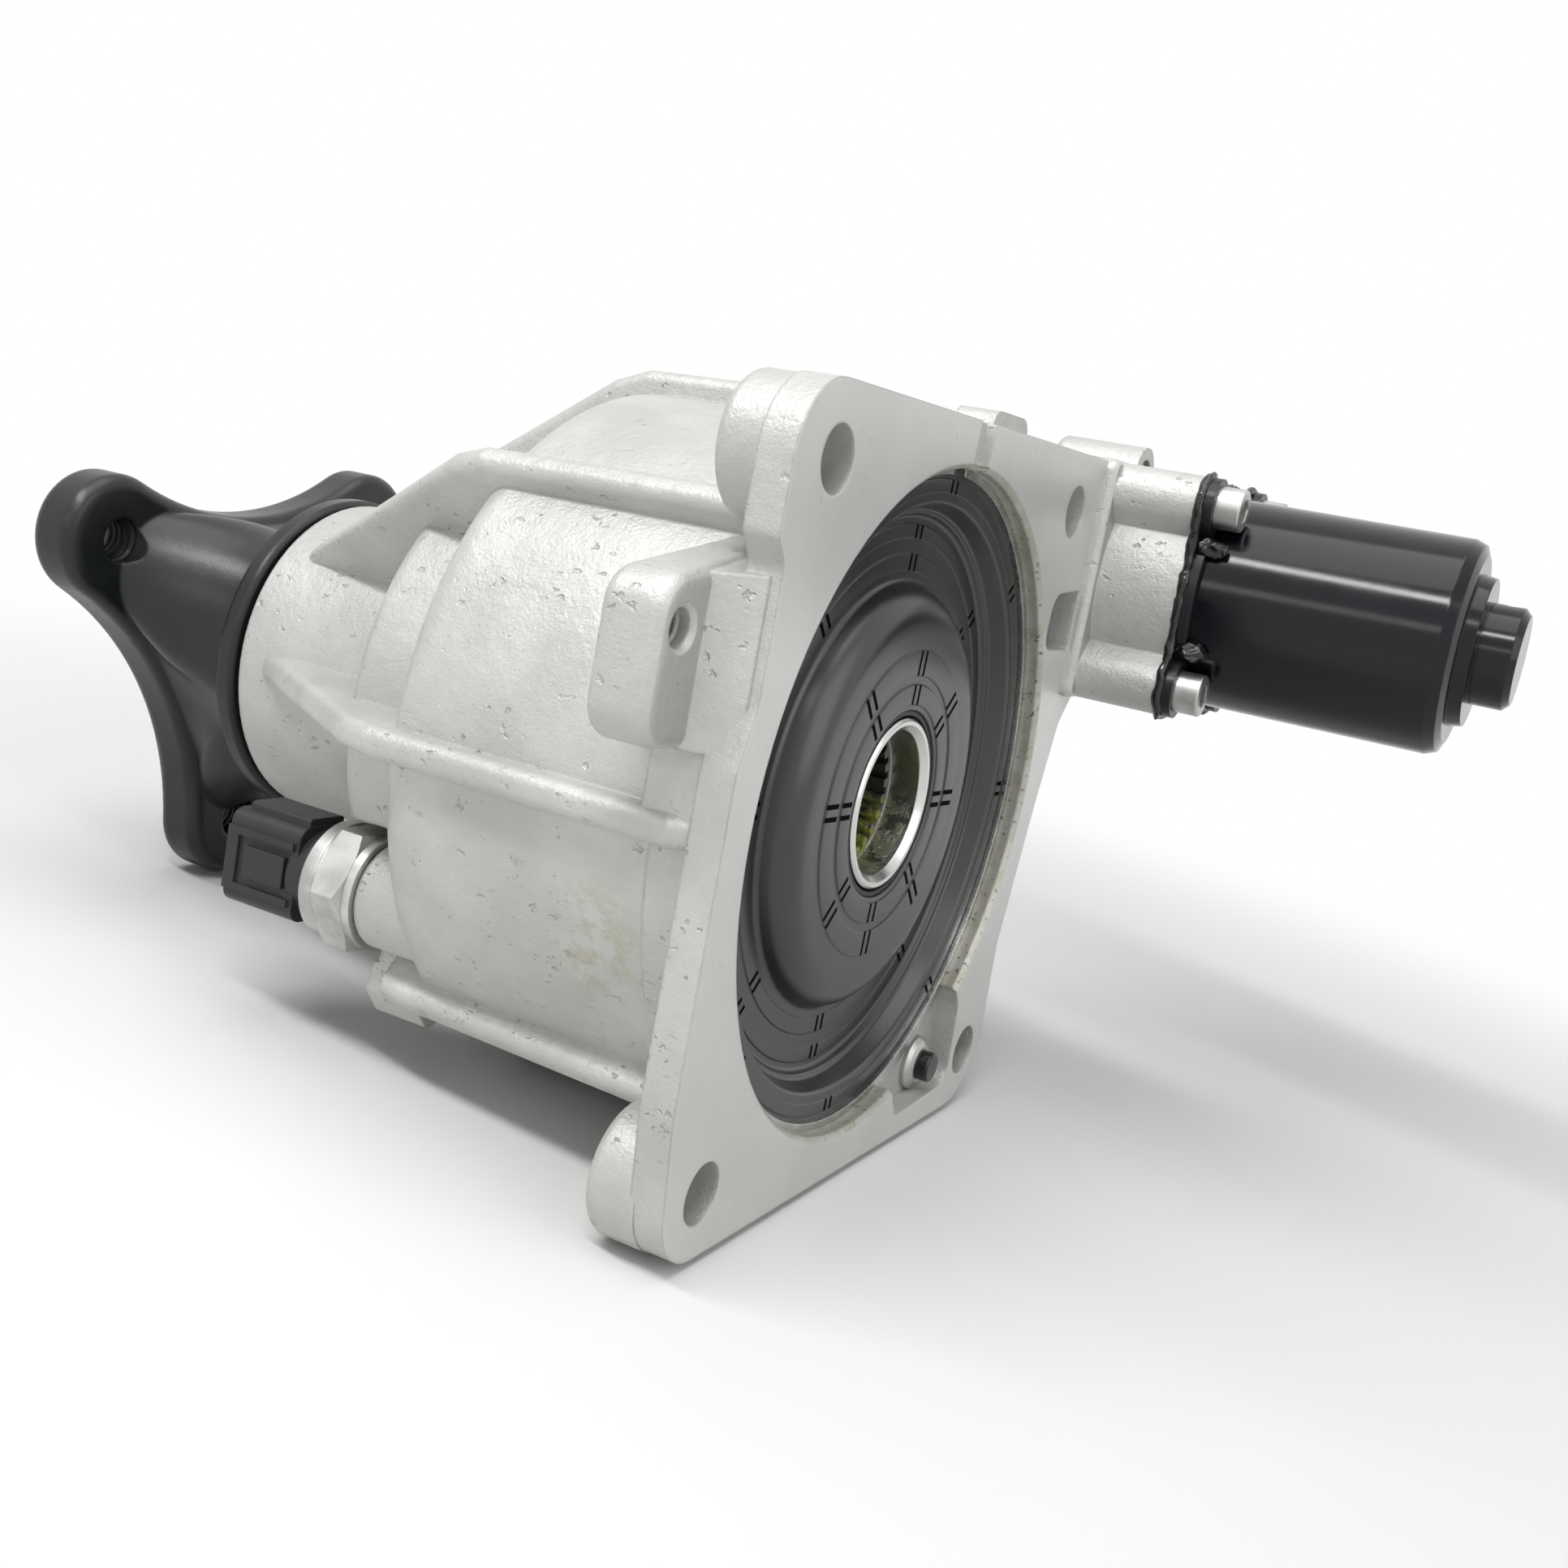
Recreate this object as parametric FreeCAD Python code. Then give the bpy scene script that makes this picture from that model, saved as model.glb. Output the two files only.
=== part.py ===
"""Four-wheel-drive coupling: a wet multi-plate clutch in a cast housing.

Millimetres, +Z up. The origin is the centre of the housing bore in the plane of the
mounting face. +X runs along the main axis from that face to the three-arm companion flange.
A propeller shaft drives the companion flange, and the splined hub in the front cover drives
the axle. A motor-driven oil pump pushes an annular piston, which squeezes the plate pack.
"""
import math
import os

import FreeCAD
import Part
from FreeCAD import Vector

# Mounting plate
plate_t = 7.0
plate_left_y = 79.0
plate_top_z = 78.5
plate_bottom_z = 78.0
plate_right_y = 76.0
plate_waist_y = 72.5
plate_edge_recess = 3.5
bolt_spacing_y = 127.0
bolt_spacing_z = 130.4
bolt_hole_r = 6.0
boss_r = 13.0
boss_depth = 10.0
face_slot_w = 8.5
face_slot_depth = 2.5

# Bore and front cover
bore_r = 69.0
bore_chamfer = 1.0
snap_ring_x = 4.0
snap_ring_t = 1.4
snap_ring_bite = 1.3
snap_ring_show = 1.6
cover_rim_len = 8.1
cover_t = 2.0
cover_step_depth = 5.6
cover_land_in_r = 61.4
cover_valley_out_r = 58.0
cover_valley_in_r = 44.5
cover_face_r = 37.4
cover_face_lift = 6.6
seat_step = 2.5

# Casting
drum_wall = 7.5
piston_floor_gap = 1.6
drum_rear_round = 7.0
floor_t = 8.0
cylinder_width = 10.5
cylinder_wall = 14.0
cylinder_depth = 14.0
collar_rear_t = 8.0
sleeve_r = 33.5
snout_r = 36.7
snout_len = 48.4
rib_t = 6.0
rib_rise = 5.0
gusset_end_gap = 7.4
rib_angles = (0.0, 45.0, 90.0, 180.0)
short_rib_angle = -45.0
hidden_rib_angle = -135.0
drum_step_x = 16.0

# Bracket lug beside the plate
lug_x = 10.2
lug_len = 12.6
lug_low_z = 14.2
lug_height = 28.0
lug_slope = 8.0
lug_reach_y = 93.0
lug_hole_r = 3.4
lug_hole_y = 86.5
lug_hole_z = 34.4

# Output hub, drum and plate pack
hub_r = 18.0
hub_x = 4.3
hub_pilot_r = 15.3
hub_pilot_len = 8.0
spline_minor_r = 12.8
spline_major_r = 14.3
spline_teeth = 24
spline_len = 17.0
pilot_r = 9.0
pilot_len = 13.0
seal_gap = 1.6
drum_gap = 2.5
drum_front_t = 3.5
shell_t = 5.6
shell_gap = 2.5
lug_count = 8
disc_t = 2.4
disc_gap = 0.1
friction_count = 6
backing_t = 4.0
pressure_t = 6.0
travel = 1.6
race_t = 1.5
roller_r = 1.5
race_outer_gap = 4.9
roller_count = 12
friction_width = 14.9
carrier_rim_t = 5.5
carrier_web_t = 5.0
carrier_seat_len = 16.0
tooth_h = 2.2

# Input shaft, bearing and piston
shaft_r = 20.0
carrier_seat_r = 16.0
bearing_id_r = 15.0
bearing_od_r = 31.0
bearing_w = 16.0
bearing_inset = 12.0
ball_r = 4.75
ball_count = 9
sleeve_wall = 4.0
circlip_t = 2.0
seal_w = 7.0
piston_t = 12.0
piston_nose_gap = 6.3
piston_head_t = 3.6
stroke_room = 2.0

# Companion flange
flange_spline_r = 14.0
journal_r = 20.0
flange_front_gap = 2.8
flange_disc_r = 33.0
flange_depth = 42.5
pad_t = 12.7
pad_r = 14.5
flange_pcd_r = 48.0
flange_hole_r = 5.1
flange_valley_r = 28.2
flange_turn = 25.2
shield_r = 37.5
shield_t = 1.2
nut_flat = 30.0
nut_h = 12.0
nut_thread_r = 10.0

# Motor and pump
motor_y = -108.8
motor_z = 50.5
can_r = 25.5
can_wall = 1.8
can_len = 58.5
can_step_r = 18.0
can_step_len = 3.0
cup_r = 12.0
cup_len = 9.0
motor_flange_t = 2.5
gasket_t = 1.5
pump_face_x = -22.5
pump_panel_x = -3.0
pump_block_depth = 24.0
pump_block_half_w = 29.7
pump_block_half_h = 28.8
pump_barrel_r = 27.5
lobe_r = 6.6
lobe_circle_r = 31.0
motor_screw_r = 3.0
motor_screw_depth = 14.0
screw_head_r = 5.0
screw_head_h = 6.0
port_plate_r = 22.0
port_plate_t = 11.5
gerotor_t = 10.0
gerotor_lobes = 6
gerotor_pitch_r = 15.5
gerotor_lobe_r = 4.5
gerotor_offset = 1.6
gerotor_ring_r = 17.0
motor_shaft_r = 4.0
core_r = 17.0
core_len = 32.0
magnet_t = 5.0
magnet_air = 0.8
commutator_r = 8.0
commutator_len = 8.0

# Oil sensor
sensor_y = 50.5
sensor_z = -35.5
sensor_boss_r = 11.0
sensor_boss_len = 10.0
sensor_stem_r = 6.0
sensor_hex = 24.0
sensor_hex_h = 7.0
sensor_round_r = 12.4
sensor_round_h = 4.4
sensor_washer_t = 2.0
sensor_neck_r = 9.4
sensor_neck_len = 3.8
socket_w = 17.0
socket_h = 20.0
socket_len = 18.6
socket_wall = 1.7
socket_depth = 14.0

# Vent in the pocket beside the bore
vent_y = -44.5
vent_z = -65.7
vent_ferrule_r = 6.3
vent_ferrule_h = 2.5
vent_pin_r = 3.5
vent_pin_len = 3.0
pocket_depth = 5.5

# Gallery plug on the pump block
gallery_y = -118.0
gallery_z = 77.0
gallery_boss_r = 8.0
gallery_len = 23.0
gallery_plug_r = 5.0

# Clearances
run_fit = 0.05
loose_fit = 0.15
seat_gap = 0.1

# Places along the main axis
cover_x = snap_ring_x + snap_ring_t
seat_x = cover_x + cover_rim_len
cavity_r = bore_r - seat_step
drum_r = cavity_r + drum_wall
valley_x = cover_x + cover_step_depth
cover_face_x = valley_x - cover_face_lift
drum_x = seat_x + drum_gap
pack_x = drum_x + drum_front_t + backing_t + disc_gap
pitch = disc_t + disc_gap
pack_end_x = pack_x + (2 * friction_count - 1) * pitch
pressure_x = pack_end_x + travel
race_x = pressure_x + pressure_t
roller_x = race_x + race_t + run_fit
rear_race_x = roller_x + 2 * roller_r + run_fit
nose_x = rear_race_x + race_t
floor_x = nose_x + piston_head_t + piston_floor_gap
drum_len = floor_x + floor_t
cylinder_r = sleeve_r + cylinder_width
sleeve_bore_r = sleeve_r - sleeve_wall
piston_nose_in_r = sleeve_r + piston_nose_gap
cylinder_x = floor_x + floor_t + cylinder_depth
collar_end_x = cylinder_x + collar_rear_t
snout_end_x = collar_end_x + snout_len
bearing_x = collar_end_x + bearing_inset
piston_x = cylinder_x - stroke_room - piston_t
shell_r = cavity_r - shell_gap
shell_in_r = shell_r - shell_t
collar_r = cylinder_r + cylinder_wall
carrier_r = shell_in_r - friction_width
lug_r = shell_in_r + tooth_h
plate_r = shell_in_r - loose_fit
race_in_r = carrier_r + 1.0
race_out_r = shell_in_r - race_outer_gap
roller_len = race_out_r - race_in_r - 3.0
hub_end_x = hub_x + hub_pilot_len + spline_len + 2.0 + pilot_len
bearing_end_x = bearing_x + bearing_w
journal_x = bearing_end_x
seal_x = snout_end_x - 1.0 - seal_w
flange_x = snout_end_x + flange_front_gap
flange_rear_x = flange_x + flange_depth
pad_x = flange_rear_x - pad_t
nut_x = flange_rear_x - nut_h - 3.5
web_x = hub_end_x + 4.0
can_x = pump_face_x - gasket_t - motor_flange_t
port_x = pump_face_x + port_plate_t
gerotor_end_x = port_x + gerotor_t
sensor_x = drum_len + sensor_boss_len
hex_x = sensor_x + sensor_washer_t
round_x = hex_x + sensor_hex_h
neck_x = round_x + sensor_round_h
socket_x = neck_x + sensor_neck_len

X = Vector(1, 0, 0)


def disc(x0, x1, r, y=0.0, z=0.0):
    """A cylinder along X."""
    return Part.makeCylinder(r, x1 - x0, Vector(x0, y, z), X)


def ring(x0, x1, r_out, r_in, y=0.0, z=0.0):
    """A plain ring along X."""
    return disc(x0, x1, r_out, y, z).cut(disc(x0 - 1, x1 + 1, r_in, y, z))


def turned(profile, y=0.0, z=0.0):
    """A solid turned about an X axis from its (x, radius) outline."""
    points = [Vector(x, y + r, z) for x, r in profile]
    face = Part.Face(Part.makePolygon(points + points[:1]))
    return face.revolve(Vector(0, y, z), X, 360)


def polar(radius, degrees):
    """Y and Z of a point on a circle about the main axis."""
    angle = math.radians(degrees)
    return radius * math.cos(angle), radius * math.sin(angle)


def spun(shape, degrees, y=0.0, z=0.0):
    """A copy turned about an X axis."""
    copy = shape.copy()
    copy.rotate(Vector(0, y, z), X, degrees)
    return copy


def around(shape, count, first=0.0, y=0.0, z=0.0):
    """Copies spaced evenly about an X axis."""
    return [spun(shape, first + 360.0 * i / count, y, z) for i in range(count)]


def box(x0, x1, y0, y1, z0, z1):
    """A box between two corners."""
    return Part.makeBox(x1 - x0, y1 - y0, z1 - z0, Vector(x0, y0, z0))


def rounded_wire(corners, at):
    """A closed wire in the YZ plane at x = at, from (y, z, corner radius)."""
    edges = []
    ends = []
    total = len(corners)
    for i in range(total):
        before = Vector(at, *corners[i - 1][:2])
        here = Vector(at, *corners[i][:2])
        after = Vector(at, *corners[(i + 1) % total][:2])
        back = (before - here).normalize()
        on = (after - here).normalize()
        half = back.getAngle(on) / 2
        reach = corners[i][2] / math.tan(half)
        middle = (back + on).normalize()
        centre = here + middle * (corners[i][2] / math.sin(half))
        start = here + back * reach
        end = here + on * reach
        edges.append((start, centre - middle * corners[i][2], end))
        ends.append((start, end))
    parts = []
    for i in range(total):
        start, mid, end = edges[i]
        parts.append(Part.Arc(start, mid, end).toShape())
        follow = edges[(i + 1) % total][0]
        if end.distanceToPoint(follow) > 1e-6:
            parts.append(Part.LineSegment(end, follow).toShape())
    return Part.Wire(parts)


def prism(corners, x0, x1):
    """A prism along X with rounded corners."""
    return Part.Face(rounded_wire(corners, x0)).extrude(Vector(x1 - x0, 0, 0))


def edges_at(shape, test):
    """The edges whose two ends and middle all pass a test."""
    found = []
    for edge in shape.Edges:
        middle = edge.valueAt((edge.FirstParameter + edge.LastParameter) / 2)
        if all(test(p) for p in [v.Point for v in edge.Vertexes] + [middle]):
            found.append(edge)
    return found


def soft(shape, radius, test):
    """Rounds the edges that pass a test."""
    return shape.makeFillet(radius, edges_at(shape, test))


def near(value, target):
    return abs(value - target) < 1e-4


def fused(shapes):
    """One solid from overlapping ones."""
    return shapes[0].fuse(shapes[1:]).removeSplitter()


def group(shapes):
    """Separate solids that share a node."""
    return Part.makeCompound(shapes)


def splined_bore(x0, x1, minor, major, teeth):
    """The space inside an internal spline."""
    half = math.pi * minor / teeth * 0.55
    top = math.pi * major / teeth * 0.35
    space = disc(x0, x1, minor)
    points = [(minor - 1.0, -half), (major, -top), (major, top), (minor - 1.0, half)]
    wire = Part.makePolygon([Vector(x0, r, w) for r, w in points + points[:1]])
    groove = Part.Face(wire).extrude(Vector(x1 - x0, 0, 0))
    return space.fuse(around(groove, teeth))


def toothed_ring(x0, x1, r_out, r_in, teeth_r, outward):
    """A plate with square teeth on its outer or inner edge."""
    width = 8.0
    if outward:
        tooth = box(x0, x1, r_out - 1.5, teeth_r, -width / 2, width / 2)
        return ring(x0, x1, r_out, r_in).fuse(around(tooth, lug_count)).removeSplitter()
    tooth = box(x0, x1, teeth_r, r_in + 1.5, -width / 2, width / 2)
    return ring(x0, x1, r_out, r_in).fuse(around(tooth, lug_count)).removeSplitter()


def lobed(x0, x1, grow=0.0):
    """The pump's four-lobed outline, as a prism along X."""
    shapes = [disc(x0, x1, pump_barrel_r + grow, motor_y, motor_z)]
    for i in range(4):
        lobe = disc(x0, x1, lobe_r + grow, motor_y + lobe_circle_r, motor_z)
        arm = box(x0, x1, motor_y, motor_y + lobe_circle_r, motor_z - lobe_r - grow,
                  motor_z + lobe_r + grow)
        shapes += [spun(lobe, 45 + 90 * i, motor_y, motor_z), spun(arm, 45 + 90 * i, motor_y, motor_z)]
    return fused(shapes)


def at_lobes(shape):
    """Copies of a shape on the four lobes, from one drawn on the motor's +Y side."""
    return [spun(shape, 45 + 90 * i, motor_y, motor_z) for i in range(4)]


def rib(angle, gusset):
    """A radial rib with a rounded crest, with or without its slope down to the snout."""
    crest = drum_r + rib_rise + 1.0
    rear = drum_len + 8.0
    inner = snout_r - 2.0
    outline = [(plate_t - 1, cavity_r + 1), (plate_t - 1, crest - 2.0), (plate_t + 4.0, crest), (drum_len, crest - 2.0)]
    if gusset:
        foot = snout_end_x - gusset_end_gap
        outline += [(rear, crest - 5.0), (foot, snout_r + 0.8), (foot, inner), (drum_len - 6, inner)]
    else:
        outline += [(drum_len + 5.0, crest - 3.0), (drum_len + 5.0, collar_r - 3.0),
                    (drum_len - 6, collar_r - 3.0)]
    points = [Vector(x, r, -rib_t / 2) for x, r in outline]
    body = Part.Face(Part.makePolygon(points + points[:1])).extrude(Vector(0, 0, rib_t))

    def on_crest(p):
        beyond = snout_r + 0.3 if gusset else drum_r + 1.0
        return p.y >= beyond

    long_edges = [e for e in edges_at(body, on_crest) if near(e.Vertexes[0].Z, e.Vertexes[1].Z)]
    long_edges = [e for e in long_edges if abs(e.Vertexes[0].X - e.Vertexes[1].X) > 1]
    return spun(body.makeFillet(rib_t * 0.42, long_edges), angle)


def main_housing():
    """The aluminium casting."""
    half_y = bolt_spacing_y / 2
    half_z = bolt_spacing_z / 2
    block_left_y = motor_y + pump_block_half_w
    block_right_y = motor_y - pump_block_half_w
    plate_end_y = block_left_y - 12.0
    recess_y = plate_left_y - plate_edge_recess
    plate = prism([(plate_left_y, plate_top_z, 14.0), (plate_end_y, plate_top_z, 3.0),
                   (plate_end_y, motor_z - 27.5, 3.0), (-84.0, 15.0, 6.0), (-79.0, -5.0, 20.0),
                   (-plate_waist_y, -40.0, 20.0), (-plate_right_y, -plate_bottom_z, 17.0),
                   (plate_left_y - 4.5, -plate_bottom_z, 13.0), (plate_left_y, -48.0, 20.0),
                   (plate_left_y, lug_low_z - 2.0, 8.0), (recess_y, lug_low_z + 9.0, 6.0),
                   (recess_y, lug_low_z + lug_height + 5.0, 4.0), (plate_left_y, lug_low_z + lug_height + 9.0, 3.0)],
                  0.0, plate_t)
    drum = turned([(plate_t - 1, 0), (plate_t - 1, drum_r + 1.0), (drum_step_x, drum_r + 1.0),
                   (drum_step_x + 1.0, drum_r), (drum_len, drum_r - 0.8), (drum_len, 0)])
    drum = soft(drum, drum_rear_round, lambda p: near(p.x, drum_len))
    collar = soft(disc(floor_x, collar_end_x, collar_r), 4.0, lambda p: near(p.x, collar_end_x))
    snout = turned([(floor_x, 0), (floor_x, snout_r + 0.6), (snout_end_x, snout_r), (snout_end_x, 0)])
    shapes = [plate, drum, collar, snout]
    shapes += [rib(angle, True) for angle in rib_angles]
    shapes += [rib(short_rib_angle, False), rib(hidden_rib_angle, False)]
    for side_y in (half_y, -half_y):
        for side_z in (half_z, -half_z):
            edge_y = plate_left_y if side_y > 0 else plate_right_y
            reach = min(boss_r, edge_y - half_y - 0.5)
            end = plate_t + boss_depth
            boss = disc(plate_t - 1, end, reach, side_y, side_z)
            shapes.append(soft(boss, 2.5, lambda p: near(p.x, end)))
    lug_top_z = lug_low_z + lug_height
    lug = prism([(50.0, lug_low_z, 2.0), (lug_reach_y, lug_low_z, 7.0),
                 (lug_reach_y, lug_top_z, 7.0), (50.0, lug_top_z + lug_slope, 2.0)],
                lug_x, lug_x + lug_len)
    lug = soft(lug, 2.5, lambda p: near(p.x, lug_x) and p.y > 60 or near(p.x, lug_x + lug_len) and p.y > 60)
    web_end = lug_x + 1.0
    side = Part.makePolygon([Vector(2.0, 55.0, lug_low_z), Vector(2.0, recess_y + 0.5, lug_low_z),
                             Vector(web_end, plate_left_y + 1.5, lug_low_z), Vector(web_end, 55.0, lug_low_z),
                             Vector(2.0, 55.0, lug_low_z)])
    web = Part.Face(side).extrude(Vector(0, 0, lug_height + lug_slope))
    web = web.common(prism([(50.0, lug_low_z - 1.0, 0.5), (lug_reach_y, lug_low_z - 1.0, 0.5),
                            (lug_reach_y, lug_top_z - 1.0, 0.5), (50.0, lug_top_z + lug_slope, 0.5)],
                           0.0, web_end + 1.0))
    shapes.append(web)
    gate = prism([(60.0, 1.0, 0.5), (drum_r + 4.0, 1.0, 0.5), (drum_r + 4.0, lug_low_z + 0.5, 1.0),
                  (60.0, lug_low_z + 0.5, 1.0)], plate_t - 1, plate_t + 10.3)
    top_pad = prism([(-16.0, 62.0, 1.0), (-18.0, plate_top_z + 3.8, 4.0), (-38.0, plate_top_z + 3.8, 4.0),
                     (-42.0, 60.0, 1.0)], plate_t - 1, plate_t + 8.0)
    shapes += [lug, gate, top_pad]
    low_y, low_z = polar(drum_r + 1.0, short_rib_angle - 4.0)
    foot = prism([(low_y - 14, low_z, 1.0), (low_y - 2, low_z - 5, 2.0), (low_y + 3, low_z + 1, 2.0),
                  (low_y, low_z + 12, 1.0)], drum_len - 2.0, drum_len + 11.0)
    shapes.append(foot)
    boss = disc(floor_x - 2, sensor_x, sensor_boss_r, sensor_y, sensor_z)
    shapes.append(soft(boss, 1.0, lambda p: near(p.x, sensor_x)))
    block_low_z = motor_z - pump_block_half_h
    block_high_z = motor_z + pump_block_half_h
    block = prism([(block_left_y, block_high_z, 3.0), (block_left_y, block_low_z, 3.0),
                   (block_right_y, block_low_z, 9.0), (block_right_y, block_high_z, 9.0)],
                  pump_panel_x, pump_block_depth)
    block = soft(block, 2.0, lambda p: near(p.x, pump_panel_x) or near(p.x, pump_block_depth))
    shapes += [block, lobed(pump_face_x, pump_panel_x + 1.0)]
    bridge = prism([(-40.0, block_low_z + 30.0, 2.0), (-40.0, block_low_z + 6.5, 2.0),
                    (block_left_y - 8.0, block_low_z + 6.5, 2.0), (block_left_y - 8.0, block_low_z + 30.0, 2.0)],
                   plate_t - 1, pump_block_depth - 3.0)
    gallery = disc(2.0, 2.0 + gallery_len, gallery_boss_r, gallery_y, gallery_z)
    gallery = soft(gallery, 2.0, lambda p: near(p.x, 2.0 + gallery_len))
    shapes += [bridge, gallery]
    pocket_back = prism([(-30.0, -50.0, 3.0), (-30.0, -77.0, 3.0), (-60.0, -77.0, 8.0), (-60.0, -50.0, 3.0)],
                        plate_t - 1, plate_t + boss_depth - 2.0)
    shapes.append(pocket_back)
    body = fused(shapes)

    bore_cut = turned([(-1, 0), (-1, bore_r + 2 * bore_chamfer), (bore_chamfer, bore_r), (seat_x, bore_r),
                       (seat_x, cavity_r), (floor_x, cavity_r), (floor_x, cylinder_r),
                       (cylinder_x, cylinder_r), (cylinder_x, sleeve_r), (floor_x + 0.5, sleeve_r),
                       (floor_x + 0.5, sleeve_bore_r), (bearing_x, sleeve_bore_r),
                       (bearing_x, bearing_od_r), (snout_end_x + 1, bearing_od_r), (snout_end_x + 1, 0)])
    cuts = [bore_cut]
    cuts.append(ring(snap_ring_x, cover_x, bore_r + snap_ring_bite, bore_r - 1))
    cuts.append(ring(bearing_end_x, bearing_end_x + circlip_t, bearing_od_r + 1.2, bearing_od_r - 1))
    cuts.append(ring(floor_x + 1.5, floor_x + 3.0, sleeve_r + 1, sleeve_r - 1.2))
    for side_y in (half_y, -half_y):
        for side_z in (half_z, -half_z):
            cuts.append(disc(-1, plate_t + boss_depth + 1, bolt_hole_r, side_y, side_z))
    cuts.append(box(-1, face_slot_depth, 3.5 - face_slot_w, 3.5, bore_r - 2, plate_top_z + 1))
    cuts.append(prism([(-30.0, -36.0, 1.0), (-44.0, -40.0, 4.0), (-53.5, -52.0, 7.0), (-55.5, -71.5, 5.0),
                       (-26.0, -73.0, 3.0), (-16.0, -58.0, 1.0)], -1, pocket_depth))
    cuts.append(prism([(-61.5, 33.0, 4.0), (-61.5, 46.0, 5.0), (block_left_y + 0.2, 47.5, 1.0),
                       (block_left_y + 0.2, 33.0, 1.0)], -1, plate_t + 3.0))
    cuts.append(disc(lug_x - 1, lug_x + lug_len + 1, lug_hole_r, lug_hole_y, lug_hole_z))
    chamfer = Part.makeCone(lug_hole_r + 1.9, lug_hole_r, 1.9, Vector(lug_x - 1, lug_hole_y, lug_hole_z), X)
    cuts.append(chamfer)
    cuts.append(disc(floor_x - 1, sensor_x + 1, sensor_stem_r, sensor_y, sensor_z))
    cuts.append(disc(sensor_x, collar_end_x + 5.0, sensor_hex / math.sqrt(3) + 0.6, sensor_y, sensor_z))
    cuts.append(disc(1.0, 2.0 + 8.0, gallery_plug_r, gallery_y, gallery_z))
    cuts.append(disc(pump_face_x - 1, port_x, port_plate_r, motor_y, motor_z))
    cuts.append(disc(port_x - 1, gerotor_end_x, gerotor_ring_r + run_fit, motor_y - gerotor_offset, motor_z))
    cuts.append(disc(gerotor_end_x - 1, gerotor_end_x + 10.0, motor_shaft_r + run_fit, motor_y, motor_z))
    screw = disc(pump_face_x - 1, pump_face_x + motor_screw_depth + 1, motor_screw_r,
                 motor_y + lobe_circle_r, motor_z)
    cuts += at_lobes(screw)
    return body.cut(cuts)


def front_cover():
    """The rubber-coated steel cover with its deep annular valley."""
    rim_r = bore_r
    rim_t = 2.4
    front = [(cover_x, rim_r), (cover_x, cover_land_in_r), (valley_x - 0.8, cover_land_in_r - 2.1),
             (valley_x, cover_valley_out_r), (valley_x, cover_valley_in_r)]
    steps = 5
    for i in range(1, steps + 1):
        share = i / steps
        x = valley_x - cover_face_lift * math.sin(share * math.pi / 2) ** 1.3
        front.append((x, cover_valley_in_r + (cover_face_r - cover_valley_in_r) * share ** 1.6))
    mouth_r = hub_r + seal_gap
    front.append((cover_face_x, mouth_r))
    back = [(cover_face_x + cover_t, mouth_r), (cover_face_x + cover_t, cover_face_r - 1.0),
            (valley_x + cover_t, cover_valley_in_r - 0.6), (valley_x + cover_t, cover_valley_out_r + 0.8),
            (cover_x + cover_t + 1.0, cover_land_in_r + 1.6), (cover_x + cover_t, rim_r - rim_t),
            (seat_x, rim_r - rim_t), (seat_x, rim_r)]
    return turned(front + back)


def open_ring(x0, x1, r_out, r_in, gap):
    """A snap ring with its gap at the top."""
    return ring(x0, x1, r_out, r_in).cut(box(x0 - 1, x1 + 1, -gap / 2, gap / 2, 0, r_out + 1))


def hub_lip_seal():
    """The lip seal that the cover carries around the hub."""
    mouth_r = hub_r + seal_gap
    return turned([(cover_face_x + 0.4, hub_r + 0.6), (cover_face_x + 0.4, mouth_r),
                   (cover_face_x + cover_t + 4.0, mouth_r), (cover_face_x + cover_t + 4.0, hub_r + 0.9),
                   (cover_face_x + 3.4, hub_r + 0.9), (cover_face_x + 2.4, hub_r + run_fit)])


def output_hub():
    """The hub with the internal spline that takes the axle's pinion."""
    spline_x = hub_x + hub_pilot_len
    spline_end = spline_x + spline_len
    body = turned([(hub_x, hub_pilot_r + 1.3), (hub_x, hub_r - 0.5), (hub_x + 0.5, hub_r),
                   (hub_end_x, hub_r), (hub_end_x, pilot_r + 4.0), (spline_end, pilot_r + 4.0),
                   (spline_end, 11.0), (spline_x, 11.0), (spline_x, hub_pilot_r),
                   (hub_x + 1.3, hub_pilot_r)])
    return body.cut(splined_bore(spline_x - 0.5, spline_end + 0.5, spline_minor_r, spline_major_r, spline_teeth))


def clutch_drum():
    """The outer plate carrier with slots for the steel plates' lugs."""
    end = nose_x + 1.0
    front = turned([(drum_x, hub_r), (drum_x, shell_r - 2.0), (drum_x + 2.0, shell_r), (end, shell_r),
                    (end, shell_in_r), (drum_x + drum_front_t, shell_in_r), (drum_x + drum_front_t, hub_r)])
    width = 8.0 + 2 * loose_fit
    slot = box(drum_x + drum_front_t, end + 1, shell_in_r - 2, lug_r + loose_fit, -width / 2, width / 2)
    return front.cut(around(slot, lug_count))


def friction_discs():
    """The discs that turn with the input, each with inner teeth."""
    one = toothed_ring(0, disc_t, plate_r - 1.0, carrier_r + loose_fit, carrier_r - tooth_h + loose_fit, False)
    discs = []
    for i in range(friction_count):
        copy = one.copy()
        copy.translate(Vector(pack_x + 2 * i * pitch, 0, 0))
        discs.append(copy)
    return group(discs)


def steel_plates():
    """The plates that turn with the drum, each with outer lugs."""
    one = toothed_ring(0, disc_t, plate_r, carrier_r + 1.5, lug_r, True)
    plates = []
    for i in range(friction_count - 1):
        copy = one.copy()
        copy.translate(Vector(pack_x + (2 * i + 1) * pitch, 0, 0))
        plates.append(copy)
    return group(plates)


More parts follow.
